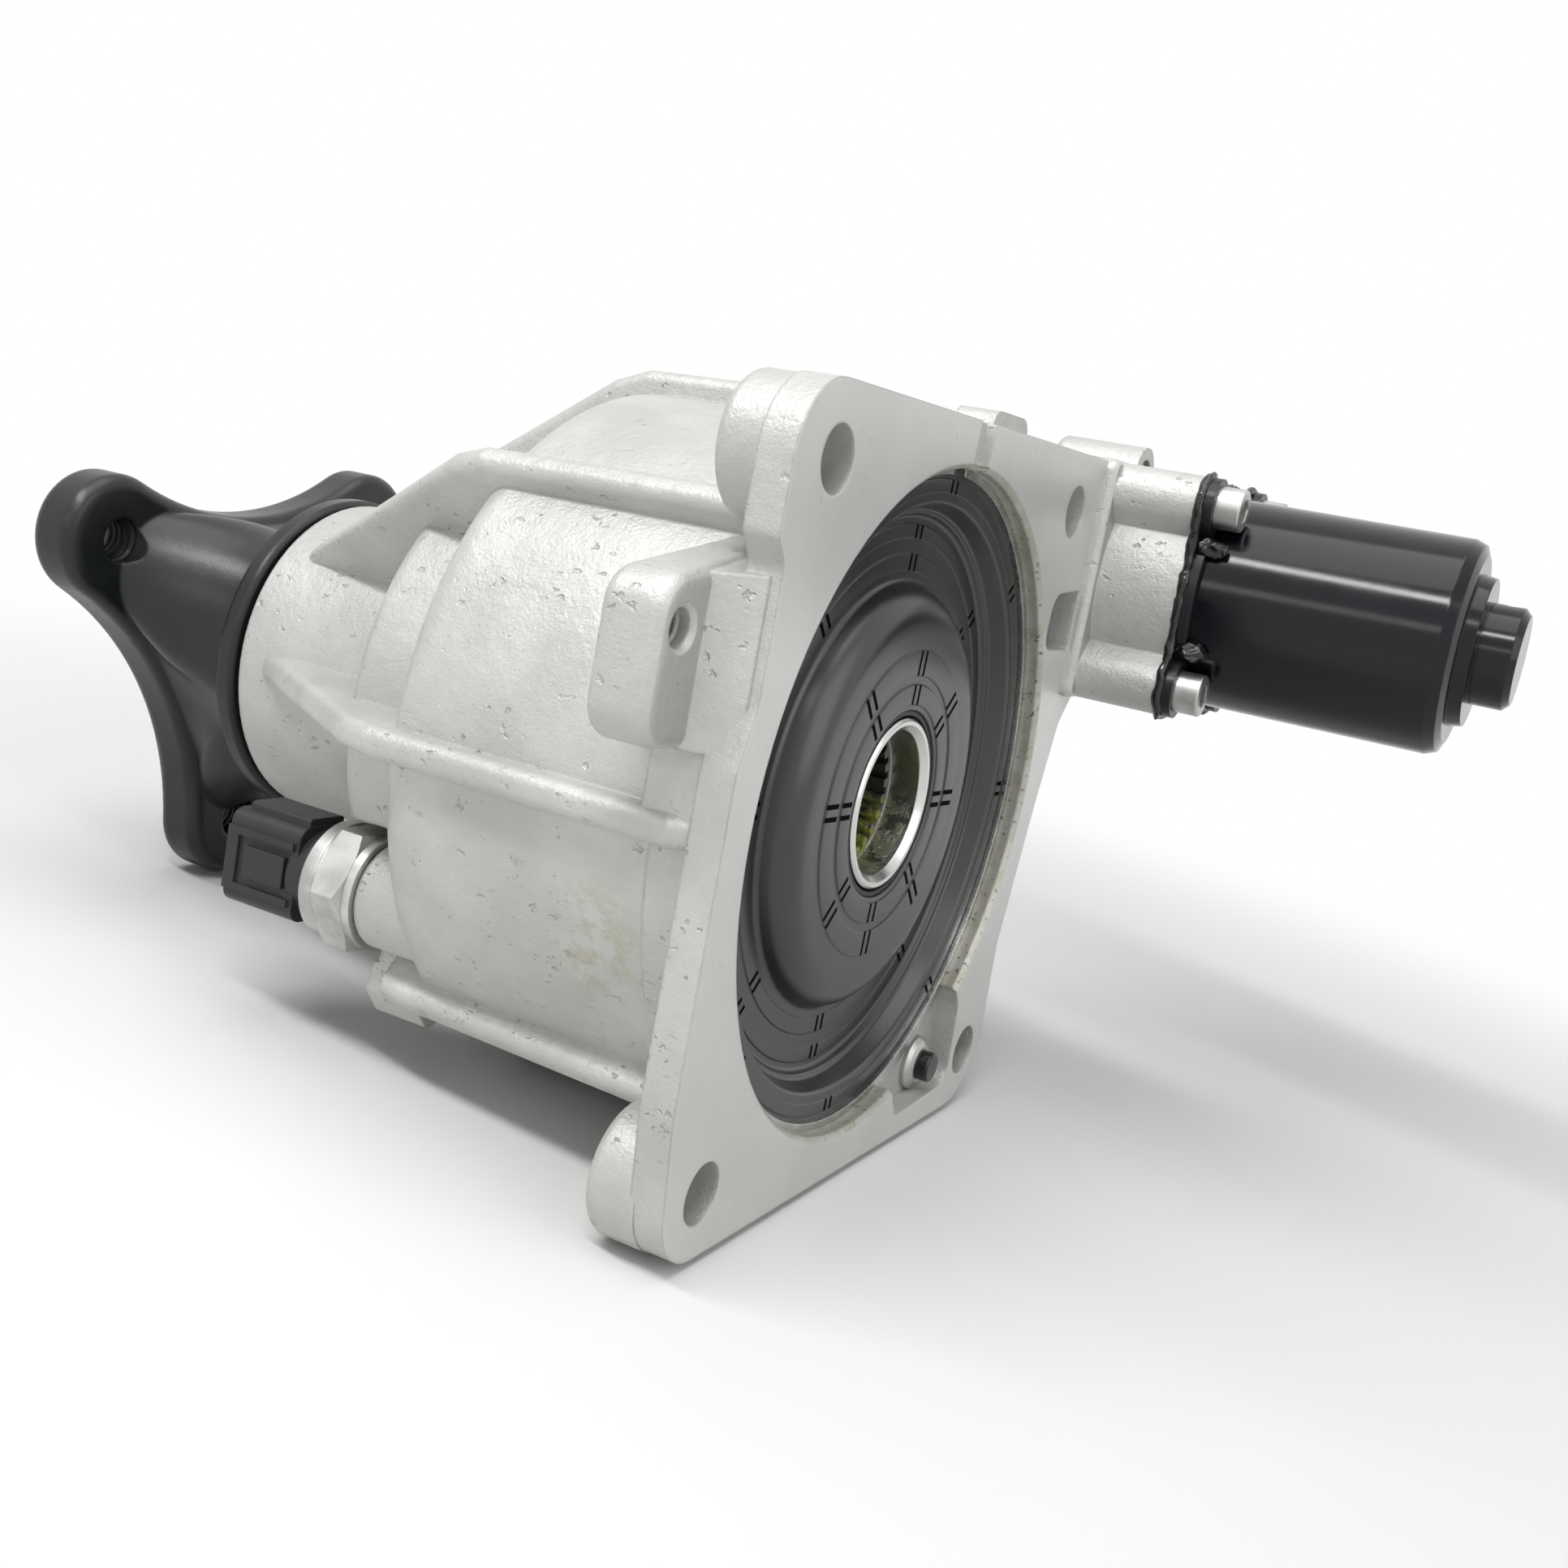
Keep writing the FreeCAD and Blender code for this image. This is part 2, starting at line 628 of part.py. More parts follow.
def disc_carrier():
    """The inner carrier on the input shaft, with slots for the friction discs' teeth."""
    rim_x = drum_x + drum_front_t + 1.5
    rim_in = carrier_r - carrier_rim_t
    seat_end = web_x + carrier_seat_len
    body = turned([(rim_x, rim_in), (rim_x, carrier_r), (pack_end_x + 1.0, carrier_r),
                   (pack_end_x + 1.0, rim_in), (web_x + carrier_web_t, rim_in),
                   (web_x + carrier_web_t, carrier_seat_r + 6.0), (seat_end, carrier_seat_r + 6.0),
                   (seat_end, carrier_seat_r), (hub_end_x + 1.0, carrier_seat_r),
                   (hub_end_x + 1.0, carrier_seat_r + 6.0), (web_x, carrier_seat_r + 6.0), (web_x, rim_in)])
    width = 8.0 + 2 * loose_fit
    slot = box(rim_x - 1, pack_end_x + 2, carrier_r - tooth_h, carrier_r + 2, -width / 2, width / 2)
    hole = disc(web_x - 1, web_x + carrier_web_t + 1, 3.5, (rim_in + carrier_seat_r + 6.0) / 2, 0)
    return body.cut(around(slot, lug_count) + around(hole, 6))


def input_shaft():
    """The shaft from the pilot nose to the flange nut's thread."""
    seat_end = web_x + carrier_seat_len
    return turned([(hub_end_x - pilot_len + 0.5, 0), (hub_end_x - pilot_len + 0.5, pilot_r - 1.0),
                   (hub_end_x - pilot_len + 1.5, pilot_r), (hub_end_x + 1.0, pilot_r),
                   (hub_end_x + 1.0, carrier_seat_r), (seat_end, carrier_seat_r), (seat_end, shaft_r),
                   (bearing_x, shaft_r), (bearing_x, bearing_id_r), (bearing_end_x, bearing_id_r),
                   (bearing_end_x, flange_spline_r), (nut_x, flange_spline_r), (nut_x, nut_thread_r),
                   (nut_x + nut_h + 2.0, nut_thread_r), (nut_x + nut_h + 3.0, nut_thread_r - 1.0),
                   (nut_x + nut_h + 3.0, 0)])


def race(inner):
    """A ball bearing race with its groove."""
    mid_x = bearing_x + bearing_w / 2
    pitch_r = (bearing_id_r + bearing_od_r) / 2
    if inner:
        body = ring(bearing_x, bearing_end_x, pitch_r - ball_r * 0.7, bearing_id_r)
    else:
        body = ring(bearing_x, bearing_end_x, bearing_od_r, pitch_r + ball_r * 0.7)
    groove = Part.makeTorus(pitch_r, ball_r + run_fit, Vector(mid_x, 0, 0), X)
    return body.cut(groove)


def balls():
    """The bearing's balls."""
    pitch_r = (bearing_id_r + bearing_od_r) / 2
    one = Part.makeSphere(ball_r, Vector(bearing_x + bearing_w / 2, pitch_r, 0), X)
    return group(around(one, ball_count))


def ball_cage():
    """The cage that spaces the balls."""
    pitch_r = (bearing_id_r + bearing_od_r) / 2
    mid_x = bearing_x + bearing_w / 2
    body = ring(mid_x - 5.8, mid_x + 5.8, pitch_r + 1.6, pitch_r - 1.6)
    hole = Part.makeCylinder(ball_r + run_fit, 12, Vector(mid_x, pitch_r - 6, 0), Vector(0, 1, 0))
    return body.cut(around(hole, ball_count))


def thrust_rollers(cut=0.0):
    """Radial needle rollers between the two thrust races, or the pockets for them."""
    mid_x = roller_x + roller_r
    start = race_in_r + 1.5 - cut
    one = Part.makeCylinder(roller_r + cut, roller_len + 2 * cut, Vector(mid_x, start, 0), Vector(0, 1, 0))
    return around(one, roller_count)


def thrust_cage():
    """The cage that spaces the rollers."""
    mid_x = roller_x + roller_r
    body = ring(mid_x - 0.9, mid_x + 0.9, race_out_r - 0.5, race_in_r + 0.5)
    return body.cut(thrust_rollers(run_fit))


def piston():
    """The annular piston with its nose and two seal grooves."""
    wall_r = cylinder_r - run_fit
    body = turned([(nose_x, piston_nose_in_r), (nose_x, race_out_r), (nose_x + piston_head_t, race_out_r),
                   (nose_x + piston_head_t, wall_r), (piston_x + piston_t, wall_r),
                   (piston_x + piston_t, sleeve_r + run_fit), (piston_x, sleeve_r + run_fit),
                   (piston_x, piston_nose_in_r)])
    middle = piston_x + piston_t / 2
    outer = ring(middle - 1.5, middle + 1.5, cylinder_r + 1, cylinder_r - 2.5)
    inner = ring(middle - 1.5, middle + 1.5, sleeve_r + 2.5, sleeve_r - 1)
    return body.cut([outer, inner])


def piston_seals():
    """The rings in the piston's grooves."""
    middle = piston_x + piston_t / 2
    outer = ring(middle - 1.5, middle + 1.5, cylinder_r - run_fit / 2, cylinder_r - 2.5)
    inner = ring(middle - 1.5, middle + 1.5, sleeve_r + 2.5, sleeve_r + run_fit / 2)
    return group([outer, inner])


def return_spring():
    """The disc spring that pushes the piston home."""
    start = floor_x + 3.0 + seat_gap
    end = piston_x - seat_gap
    low = sleeve_r + 0.4
    high = piston_nose_in_r - 0.4
    thick = 1.2
    return turned([(start, low), (start + thick, low), (end, high - 1.0), (end, high), (end - thick, high),
                   (start, low + 1.0)])


def three_arm_wire(at, centre_r, end_r, valley_r):
    """The flange's outline: three ends joined by concave valleys, all tangent."""
    depth = valley_r - end_r
    far = (centre_r ** 2 - depth ** 2) / (centre_r - 2 * depth)
    sweep = far - valley_r
    parts = []
    for arm in range(3):
        turn = 120.0 * arm + flange_turn
        end_c = Vector(0, *polar(centre_r, turn))
        right_c = Vector(0, *polar(far, turn - 60))
        left_c = Vector(0, *polar(far, turn + 60))
        first = end_c + (right_c - end_c).normalize() * end_r
        last = end_c + (left_c - end_c).normalize() * end_r
        tip = Vector(0, *polar(centre_r + end_r, turn))
        next_c = Vector(0, *polar(centre_r, turn + 120))
        onward = next_c + (left_c - next_c).normalize() * end_r
        low = Vector(0, *polar(far - sweep, turn + 60))
        for a, b, c in ((first, tip, last), (last, low, onward)):
            ends = [Vector(at, p.y, p.z) for p in (a, b, c)]
            parts.append(Part.Arc(*ends).toShape())
    return Part.Wire(parts)


def round_wire(at, r, like):
    """A circle split at the same angles as another outline."""
    angles = [math.degrees(math.atan2(v.Z, v.Y)) for v in like.OrderedVertexes]
    parts = []
    for i, first in enumerate(angles):
        last = angles[(i + 1) % len(angles)]
        if last < first:
            last += 360
        ends = [Vector(at, *polar(r, a)) for a in (first, (first + last) / 2, last)]
        parts.append(Part.Arc(*ends).toShape())
    return Part.Wire(parts)


def companion_flange():
    """The forged flange: a flared three-arm body on a tubular seal journal."""
    outline = three_arm_wire(pad_x, flange_pcd_r, pad_r, flange_valley_r)
    pads = Part.Face(outline).extrude(Vector(pad_t, 0, 0))
    pads = pads.makeFillet(3.2, edges_at(pads, lambda p: near(p.x, pad_x) or near(p.x, flange_rear_x)))
    rise = pad_x + 1.5 - flange_x
    upper = three_arm_wire(pad_x + 1.5, flange_pcd_r * 0.71, pad_r * 0.9, flange_valley_r * 0.95)
    middle = three_arm_wire(flange_x + rise * 0.52, flange_pcd_r * 0.32, pad_r * 1.45, flange_valley_r * 0.965)
    lower = round_wire(flange_x, flange_disc_r, upper)
    flare = Part.makeLoft([lower, middle, upper], True, False)
    journal = disc(journal_x, flange_x + 2.0, journal_r)
    body = fused([pads, flare, journal])
    cuts = [disc(journal_x - 1, flange_rear_x + 1, flange_spline_r)]
    cuts.append(turned([(nut_x, 0), (nut_x, nut_flat / 2 + 4.5), (flange_rear_x - 3, nut_flat / 2 + 5.5),
                        (flange_rear_x + 1, nut_flat / 2 + 8.5), (flange_rear_x + 1, 0)]))
    for arm in range(3):
        y, z = polar(flange_pcd_r, 120.0 * arm + flange_turn)
        cuts.append(disc(pad_x - 3, flange_rear_x + 1, flange_hole_r, y, z))
    return body.cut(cuts)


def hexagon(x0, x1, flats, y=0.0, z=0.0):
    """A hexagonal prism along X."""
    corner = flats / math.sqrt(3)
    points = [Vector(x0, y + polar(corner, 60 * i)[0], z + polar(corner, 60 * i)[1]) for i in range(6)]
    return Part.Face(Part.makePolygon(points + points[:1])).extrude(Vector(x1 - x0, 0, 0))


def turned_hexagon(x0, x1, flats, y=0.0, z=0.0):
    """A hexagon with both rims chamfered to the turned round of a nut."""
    r = flats / math.sqrt(3)
    lip = r - flats / 2
    form = turned([(x0, 0), (x0, r - lip), (x0 + lip * 0.6, r), (x1 - lip * 0.6, r), (x1, r - lip), (x1, 0)], y, z)
    return hexagon(x0, x1, flats, y, z).common(form)


def flange_nut():
    """The nut that holds the flange."""
    return turned_hexagon(nut_x, nut_x + nut_h, nut_flat).cut(disc(nut_x - 1, nut_x + nut_h + 1, nut_thread_r))


def dust_shield():
    """The pressed ring that covers the seal."""
    return turned([(flange_x - shield_t, journal_r), (flange_x - shield_t, shield_r - 1.0),
                   (flange_x - shield_t + 1.0, shield_r), (flange_x + 3.0, shield_r),
                   (flange_x + 3.0, shield_r - shield_t), (flange_x, shield_r - shield_t), (flange_x, journal_r)])


def shaft_seal():
    """The seal between the snout and the flange's journal."""
    return turned([(seal_x, journal_r + 5.0), (seal_x, bearing_od_r), (seal_x + seal_w, bearing_od_r),
                   (seal_x + seal_w, journal_r + 0.8), (seal_x + seal_w - 1.2, journal_r + 0.8),
                   (seal_x + 2.8, journal_r + run_fit), (seal_x + 1.6, journal_r + run_fit),
                   (seal_x + 1.2, journal_r + 2.5), (seal_x + seal_w - 1.2, journal_r + 3.0),
                   (seal_x + seal_w - 1.2, bearing_od_r - 1.4), (seal_x + 1.2, bearing_od_r - 1.4),
                   (seal_x + 1.2, journal_r + 5.0)])


def motor_can():
    """The drawn motor can with its stepped end and bearing cup."""
    end = can_x - can_len
    step = end - can_step_len
    tip = step - cup_len
    w = can_wall
    shell = turned([(can_x, can_r - w), (can_x, can_r), (end + 3.5, can_r), (end + 1.0, can_r - 1.0),
                    (end, can_r - 3.5), (end, can_step_r), (step, can_step_r - 0.6), (step, cup_r),
                    (tip + 1.5, cup_r), (tip, cup_r - 1.5), (tip, 0), (tip + w, 0), (tip + w, cup_r - w),
                    (step + w, cup_r - w), (step + w, can_step_r - w - 0.6), (end + w, can_step_r - w),
                    (end + w, can_r - 4.0), (end + 4.0, can_r - w)], motor_y, motor_z)
    dimple = Part.makeCylinder(2.0, 1.0, Vector((step + tip) / 2, motor_y, motor_z + cup_r - 0.7), Vector(0, 0, 1))
    return shell.cut(dimple)


def motor_flange():
    """The motor's mounting flange."""
    plate = lobed(can_x, can_x + motor_flange_t)
    screw = disc(can_x - 1, can_x + motor_flange_t + 1, motor_screw_r + 0.3, motor_y + lobe_circle_r, motor_z)
    centre = disc(can_x - 1, can_x + motor_flange_t + 1, port_plate_r - 3.0, motor_y, motor_z)
    return plate.cut([centre] + at_lobes(screw))


def pump_gasket():
    """The gasket between the motor's flange and the pump."""
    start = can_x + motor_flange_t
    sheet = lobed(start, pump_face_x, 0.4)
    screw = disc(start - 1, pump_face_x + 1, motor_screw_r + 0.3, motor_y + lobe_circle_r, motor_z)
    centre = disc(start - 1, pump_face_x + 1, port_plate_r - 3.0, motor_y, motor_z)
    return sheet.cut([centre] + at_lobes(screw))


def motor_screws():
    """The four socket-head screws."""
    y = motor_y + lobe_circle_r
    head = disc(can_x - screw_head_h, can_x, screw_head_r, y, motor_z)
    head = soft(head, 0.5, lambda p: near(p.x, can_x - screw_head_h))
    shank = disc(can_x - 0.5, pump_face_x + motor_screw_depth, motor_screw_r, y, motor_z)
    socket = hexagon(can_x - screw_head_h - 1, can_x - screw_head_h + 3.0, 5.0, y, motor_z)
    return group(at_lobes(fused([head, shank]).cut(socket)))


def motor_magnets():
    """Two arc magnets glued in the can."""
    end = can_x - can_len + 10.0
    start = can_x - commutator_len - 2.0
    outer = can_r - can_wall
    sector = ring(end, start, outer, outer - magnet_t, motor_y, motor_z)
    gap = box(end - 1, start + 1, motor_y - 9.0, motor_y + 9.0, motor_z - can_r, motor_z + can_r)
    return sector.cut(gap)


def motor_core():
    """The slotted armature core."""
    r = can_r - can_wall - magnet_t - magnet_air
    mid = can_x - can_len / 2 - 2.0
    body = ring(mid - core_len / 2, mid + core_len / 2, r, motor_shaft_r, motor_y, motor_z)
    slot = box(mid - core_len, mid + core_len, motor_y + 9.0, motor_y + core_r + 3.0, motor_z - 1.6, motor_z + 1.6)
    return body.cut(around(slot, 8, 22.5, motor_y, motor_z))


def motor_windings():
    """The wound heads at both ends of the core."""
    mid = can_x - can_len / 2 - 2.0
    heads = []
    for start, end in ((mid - core_len / 2 - 5.0, mid - core_len / 2), (mid + core_len / 2, mid + core_len / 2 + 5.0)):
        heads.append(ring(start, end, core_r - 2.5, motor_shaft_r, motor_y, motor_z))
    return group(heads)


def motor_shaft():
    """The shaft from the can's cup to the pump."""
    tip = can_x - can_len - can_step_len - cup_len + can_wall + 0.6
    return disc(tip, gerotor_end_x + 8.0, motor_shaft_r, motor_y, motor_z)


def commutator():
    """The commutator between the windings and the pump."""
    start = can_x - commutator_len - 1.0
    return ring(start, start + commutator_len, commutator_r, motor_shaft_r, motor_y, motor_z)


def brush_holder():
    """The ring that carries the brushes."""
    start = can_x - commutator_len - 1.0
    body = ring(start + 1.0, can_x, can_r - can_wall, commutator_r + 4.0, motor_y, motor_z)
    slot = box(start, can_x + 1, motor_y - can_r, motor_y + can_r, motor_z - 2.6, motor_z + 2.6)
    return body.cut(slot.common(disc(start - 1, can_x + 2, can_r - can_wall - 3.0, motor_y, motor_z)))


def motor_brushes():
    """Two carbon brushes on the commutator."""
    start = can_x - commutator_len - 1.0
    reach = can_r - can_wall - 3.2
    brush = box(start + 2.0, can_x - 1.0, motor_y + commutator_r + run_fit, motor_y + reach, motor_z - 2.5, motor_z + 2.5)
    return group(around(brush, 2, 0, motor_y, motor_z))


def motor_bushing():
    """The sintered bushing in the can's cup."""
    end = can_x - can_len - can_step_len
    return ring(end - cup_len + can_wall, end, cup_r - can_wall, motor_shaft_r + run_fit, motor_y, motor_z)


def pump_port_plate():
    """The plate that closes the pump pocket and guides its shaft."""
    body = ring(pump_face_x, port_x, port_plate_r, motor_shaft_r + run_fit, motor_y, motor_z)
    seat = disc(pump_face_x - 1, pump_face_x + 5.0, 8.0, motor_y, motor_z)
    return body.cut(seat)


def pump_shaft_seal():
    """The seal that keeps the oil out of the motor."""
    return ring(pump_face_x + 0.5, pump_face_x + 5.0, 8.0, motor_shaft_r + run_fit / 2, motor_y, motor_z)


def gerotor_inner():
    """The pump's inner rotor, whose flanks follow the ring's lobes."""
    pins = gerotor_lobes + 1
    touch_r = gerotor_lobe_r + run_fit
    points = []
    count = 14 * gerotor_lobes
    for i in range(count):
        a = 2 * math.pi * i / count
        a -= 0.85 / gerotor_lobes * math.sin(gerotor_lobes * a)
        y = gerotor_pitch_r * math.cos(a) - gerotor_offset * math.cos(pins * a)
        z = gerotor_pitch_r * math.sin(a) - gerotor_offset * math.sin(pins * a)
        in_y = gerotor_offset * pins * math.cos(pins * a) - gerotor_pitch_r * math.cos(a)
        in_z = gerotor_offset * pins * math.sin(pins * a) - gerotor_pitch_r * math.sin(a)
        scale = touch_r / math.hypot(in_y, in_z)
        points.append(Vector(port_x + run_fit, motor_y + y + in_y * scale, motor_z + z + in_z * scale))
    curve = Part.BSplineCurve()
    curve.interpolate(points, PeriodicFlag=True)
    face = Part.Face(Part.Wire([curve.toShape()]))
    body = face.extrude(Vector(gerotor_t - 2 * run_fit, 0, 0))
    return body.cut(disc(port_x - 1, gerotor_end_x + 1, motor_shaft_r, motor_y, motor_z))


def gerotor_outer():
    """The pump's ring, off-centre from the shaft, with one lobe more."""
    y = motor_y - gerotor_offset
    root_r = gerotor_pitch_r - gerotor_lobe_r + 2 * gerotor_offset + 0.2
    body = disc(port_x + run_fit, gerotor_end_x - run_fit, gerotor_ring_r, y, motor_z)
    space = disc(port_x - 1, gerotor_end_x + 1, root_r, y, motor_z)
    lobe = disc(port_x - 2, gerotor_end_x + 2, gerotor_lobe_r, y + gerotor_pitch_r, motor_z)
    return body.cut(space.cut(around(lobe, gerotor_lobes + 1, 0, y, motor_z)))


def sensor_body():
    """The sensor's steel body: a hexagon on a threaded stem."""
    stem = disc(floor_x + 1.0, hex_x + 1, sensor_stem_r - run_fit, sensor_y, sensor_z)
    nut = turned_hexagon(hex_x, round_x + 0.5, sensor_hex, sensor_y, sensor_z)
    r = sensor_round_r
    collar = turned([(round_x, 0), (round_x, r - 0.8), (round_x + 0.8, r), (neck_x - 0.8, r), (neck_x, r - 0.8),
                     (neck_x, 0)], sensor_y, sensor_z)
    return fused([nut, collar, stem])


def sensor_connector():
    """The plastic plug shell on its round neck, open to the rear."""
    half_w = socket_w / 2
    half_h = socket_h / 2
    neck = disc(neck_x, socket_x + 2.0, sensor_neck_r, sensor_y, sensor_z)
    shell = prism([(sensor_y + half_w, sensor_z + half_h, 3.0), (sensor_y - half_w, sensor_z + half_h, 3.0),
                   (sensor_y - half_w, sensor_z - half_h, 3.0), (sensor_y + half_w, sensor_z - half_h, 3.0)],
                  socket_x, socket_x + socket_len)
    end = socket_x + socket_len
    side_y = sensor_y + half_w
    panel = box(socket_x + 2.5, end - 5.5, sensor_y, side_y + 1.2, sensor_z - 3.2, sensor_z + 3.4)
    steps = [box(socket_x + 1.0, end, sensor_y, side_y + 0.7, sensor_z + z, sensor_z + z + 1.6) for z in (5.0, -6.8)]
    lip = box(end - 3.0, end, sensor_y, side_y + 0.7, sensor_z - 6.8, sensor_z + 6.6)
    latch = prism([(sensor_y - 4.5, sensor_z + half_h - 1.0, 0.4), (sensor_y - 4.5, sensor_z + half_h + 1.6, 0.8),
                   (sensor_y + 5.5, sensor_z + half_h + 1.6, 0.8), (sensor_y + 5.5, sensor_z + half_h - 1.0, 0.4)],
                  socket_x + 0.5, end - 2.0)
    body = fused([neck, shell, latch, panel, lip] + steps)
    w = socket_wall
    space = prism([(sensor_y + half_w - w, sensor_z + half_h - w, 1.5), (sensor_y - half_w + w, sensor_z + half_h - w, 1.5),
                   (sensor_y - half_w + w, sensor_z - half_h + w, 1.5), (sensor_y + half_w - w, sensor_z - half_h + w, 1.5)],
                  socket_x + socket_len - socket_depth, socket_x + socket_len + 1)
    return body.cut(space)


def sensor_terminals():
    """Three blades in the plug shell."""
    floor = socket_x + socket_len - socket_depth
    blades = []
    for i in (-1, 0, 1):
        z = sensor_z + i * 4.5
        blades.append(box(floor, floor + 8.0, sensor_y - 1.2, sensor_y + 1.2, z - 0.4, z + 0.4))
    return group(blades)


def vent_ferrule():
    """The domed washer in the pocket."""
    h = vent_ferrule_h
    r = vent_ferrule_r
    end = pocket_depth
    return turned([(end, vent_pin_r), (end, r), (end - h * 0.4, r), (end - h * 0.75, r - 0.8), (end - h, r - 2.0),
                   (end - h, vent_pin_r)], vent_y, vent_z)


def vent_pin():
    """The vent's pin."""
    tip = pocket_depth - vent_ferrule_h - vent_pin_len
    body = disc(tip, pocket_depth, vent_pin_r, vent_y, vent_z)
    return soft(body, 0.6, lambda p: near(p.x, tip))


def hub_cup_plug():
    """The cup that closes the spline from the pilot bushing."""
    start = hub_x + hub_pilot_len + spline_len
    return disc(start + 0.5, start + 1.7, pilot_r + 4.0)


nodes = {
    "main_housing": main_housing(),
    "front_cover": front_cover(),
    "cover_snap_ring": open_ring(snap_ring_x, cover_x, bore_r + snap_ring_bite, bore_r - snap_ring_show, 6.0),
    "hub_lip_seal": hub_lip_seal(),
    "bearing_outer_race": race(False),
    "bearing_circlip": open_ring(bearing_end_x, bearing_end_x + circlip_t, bearing_od_r + 1.2,
                                 bearing_od_r - 2.4, 8.0),
    "shaft_seal": shaft_seal(),
    "spring_snap_ring": open_ring(floor_x + 1.5, floor_x + 3.0, sleeve_r + 2.5, sleeve_r - 1.2, 5.0),
    "piston_return_spring": return_spring(),
    "vent_ferrule": vent_ferrule(),
    "vent_pin": vent_pin(),
    "gallery_plug": disc(3.0, 2.0 + 8.0, gallery_plug_r, gallery_y, gallery_z),
    "pump_gasket": pump_gasket(),
    "pump_port_plate": pump_port_plate(),
    "pump_shaft_seal": pump_shaft_seal(),
    "motor_flange": motor_flange(),
    "motor_can": motor_can(),
    "motor_magnets": motor_magnets(),
    "motor_bushing": motor_bushing(),
    "motor_brush_holder": brush_holder(),
    "motor_brushes": motor_brushes(),
    "motor_screws": motor_screws(),
    "sensor_washer": ring(sensor_x, hex_x, sensor_boss_r + 1.0, sensor_stem_r, sensor_y, sensor_z),
    "sensor_body": sensor_body(),
    "sensor_connector": sensor_connector(),
    "sensor_terminals": sensor_terminals(),
    "companion_flange": companion_flange(),
    "flange_nut": flange_nut(),
    "dust_shield": dust_shield(),
    "input_shaft": input_shaft(),
    "disc_carrier": disc_carrier(),
    "friction_discs": friction_discs(),
    "bearing_inner_race": race(True),
    "output_hub": output_hub(),
    "hub_cup_plug": hub_cup_plug(),
    "pilot_bushing": ring(hub_end_x - pilot_len, hub_end_x, pilot_r + 4.0, pilot_r + run_fit),
    "clutch_drum": clutch_drum(),
    "backing_plate": toothed_ring(drum_x + drum_front_t, drum_x + drum_front_t + backing_t, plate_r,
                                  carrier_r + 1.5, lug_r, True),
    "steel_plates": steel_plates(),
    "drum_snap_ring": open_ring(race_x + seat_gap, race_x + seat_gap + 1.6, shell_in_r, race_out_r + 1.0, 6.0),
    "pressure_plate": toothed_ring(pressure_x, race_x, plate_r, carrier_r + 1.5, lug_r, True),
    "thrust_race_front": ring(race_x, race_x + race_t, race_out_r, race_in_r),
    "thrust_race_rear": ring(rear_race_x, nose_x, race_out_r, race_in_r),
    "piston": piston(),
    "piston_seals": piston_seals(),
    "thrust_cage": thrust_cage(),
    "thrust_rollers": group(thrust_rollers()),
    "ball_cage": ball_cage(),
    "bearing_balls": balls(),
    "motor_shaft": motor_shaft(),
    "motor_core": motor_core(),
    "motor_windings": motor_windings(),
    "motor_commutator": commutator(),
    "gerotor_inner": gerotor_inner(),
    "gerotor_outer": gerotor_outer(),
}

os.makedirs("parts", exist_ok=True)
for name, shape in nodes.items():
    shape.exportStep("parts/" + name + ".step")
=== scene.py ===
"""Dresses the four-wheel-drive coupling: finishes, fine parts, light and camera."""
import math

import bmesh
import bpy
from mathutils import Matrix, Vector, noise


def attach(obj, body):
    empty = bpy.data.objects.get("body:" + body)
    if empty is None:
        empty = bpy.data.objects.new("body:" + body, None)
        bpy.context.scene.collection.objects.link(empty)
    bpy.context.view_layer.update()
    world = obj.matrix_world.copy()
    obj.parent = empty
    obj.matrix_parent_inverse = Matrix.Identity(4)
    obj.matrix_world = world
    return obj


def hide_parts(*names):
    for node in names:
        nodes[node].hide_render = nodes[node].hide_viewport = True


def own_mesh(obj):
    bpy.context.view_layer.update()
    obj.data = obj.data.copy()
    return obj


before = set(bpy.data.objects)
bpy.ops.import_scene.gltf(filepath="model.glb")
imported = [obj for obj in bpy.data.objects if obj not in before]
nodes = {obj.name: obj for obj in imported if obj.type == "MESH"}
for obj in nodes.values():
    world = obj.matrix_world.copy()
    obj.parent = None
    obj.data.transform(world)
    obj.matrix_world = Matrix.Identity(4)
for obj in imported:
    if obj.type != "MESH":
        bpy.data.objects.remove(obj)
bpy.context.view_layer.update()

scene = bpy.context.scene
mm = 0.001

# Places and sizes of the solids that the finishes and fine pieces meet, in millimetres
bore_r = 70.0
stain_place = (27.0, 69.0, -26.0)
cover_bands = ((21.0, 25.0), (27.0, 32.0), (47.2, 50.5), (53.8, 56.5), (63.8, 66.3))
flange_turn = 25.2
flange_hole_circle_r = 48.0
flange_hole_r = 5.1
flange_hole_x = (181.6, 193.4)
flange_thread_pitch = 1.75
lug_hole_r = 3.4
lug_hole_x = (12.4, 22.6)
lug_hole_y = 86.5
lug_hole_z = 34.4
lug_thread_pitch = 1.25
motor_y = -108.8
motor_z = 50.5
gasket_mid_x = -23.3
motor_foot_x = -26.9

# Without a seed of its own, this noise takes one from the clock, and the sealant changes with each run
sealant_seed = 7
noise.seed_set(sealant_seed)

# Camera, from the photograph
camera_place = (-0.1298, 0.3299, 0.0602)
camera_right = (-0.872, -0.455, 0.1807)
camera_down = (-0.2363, 0.068, -0.9693)
camera_forward = (0.4287, -0.8879, -0.1668)
lens_mm = 40.51

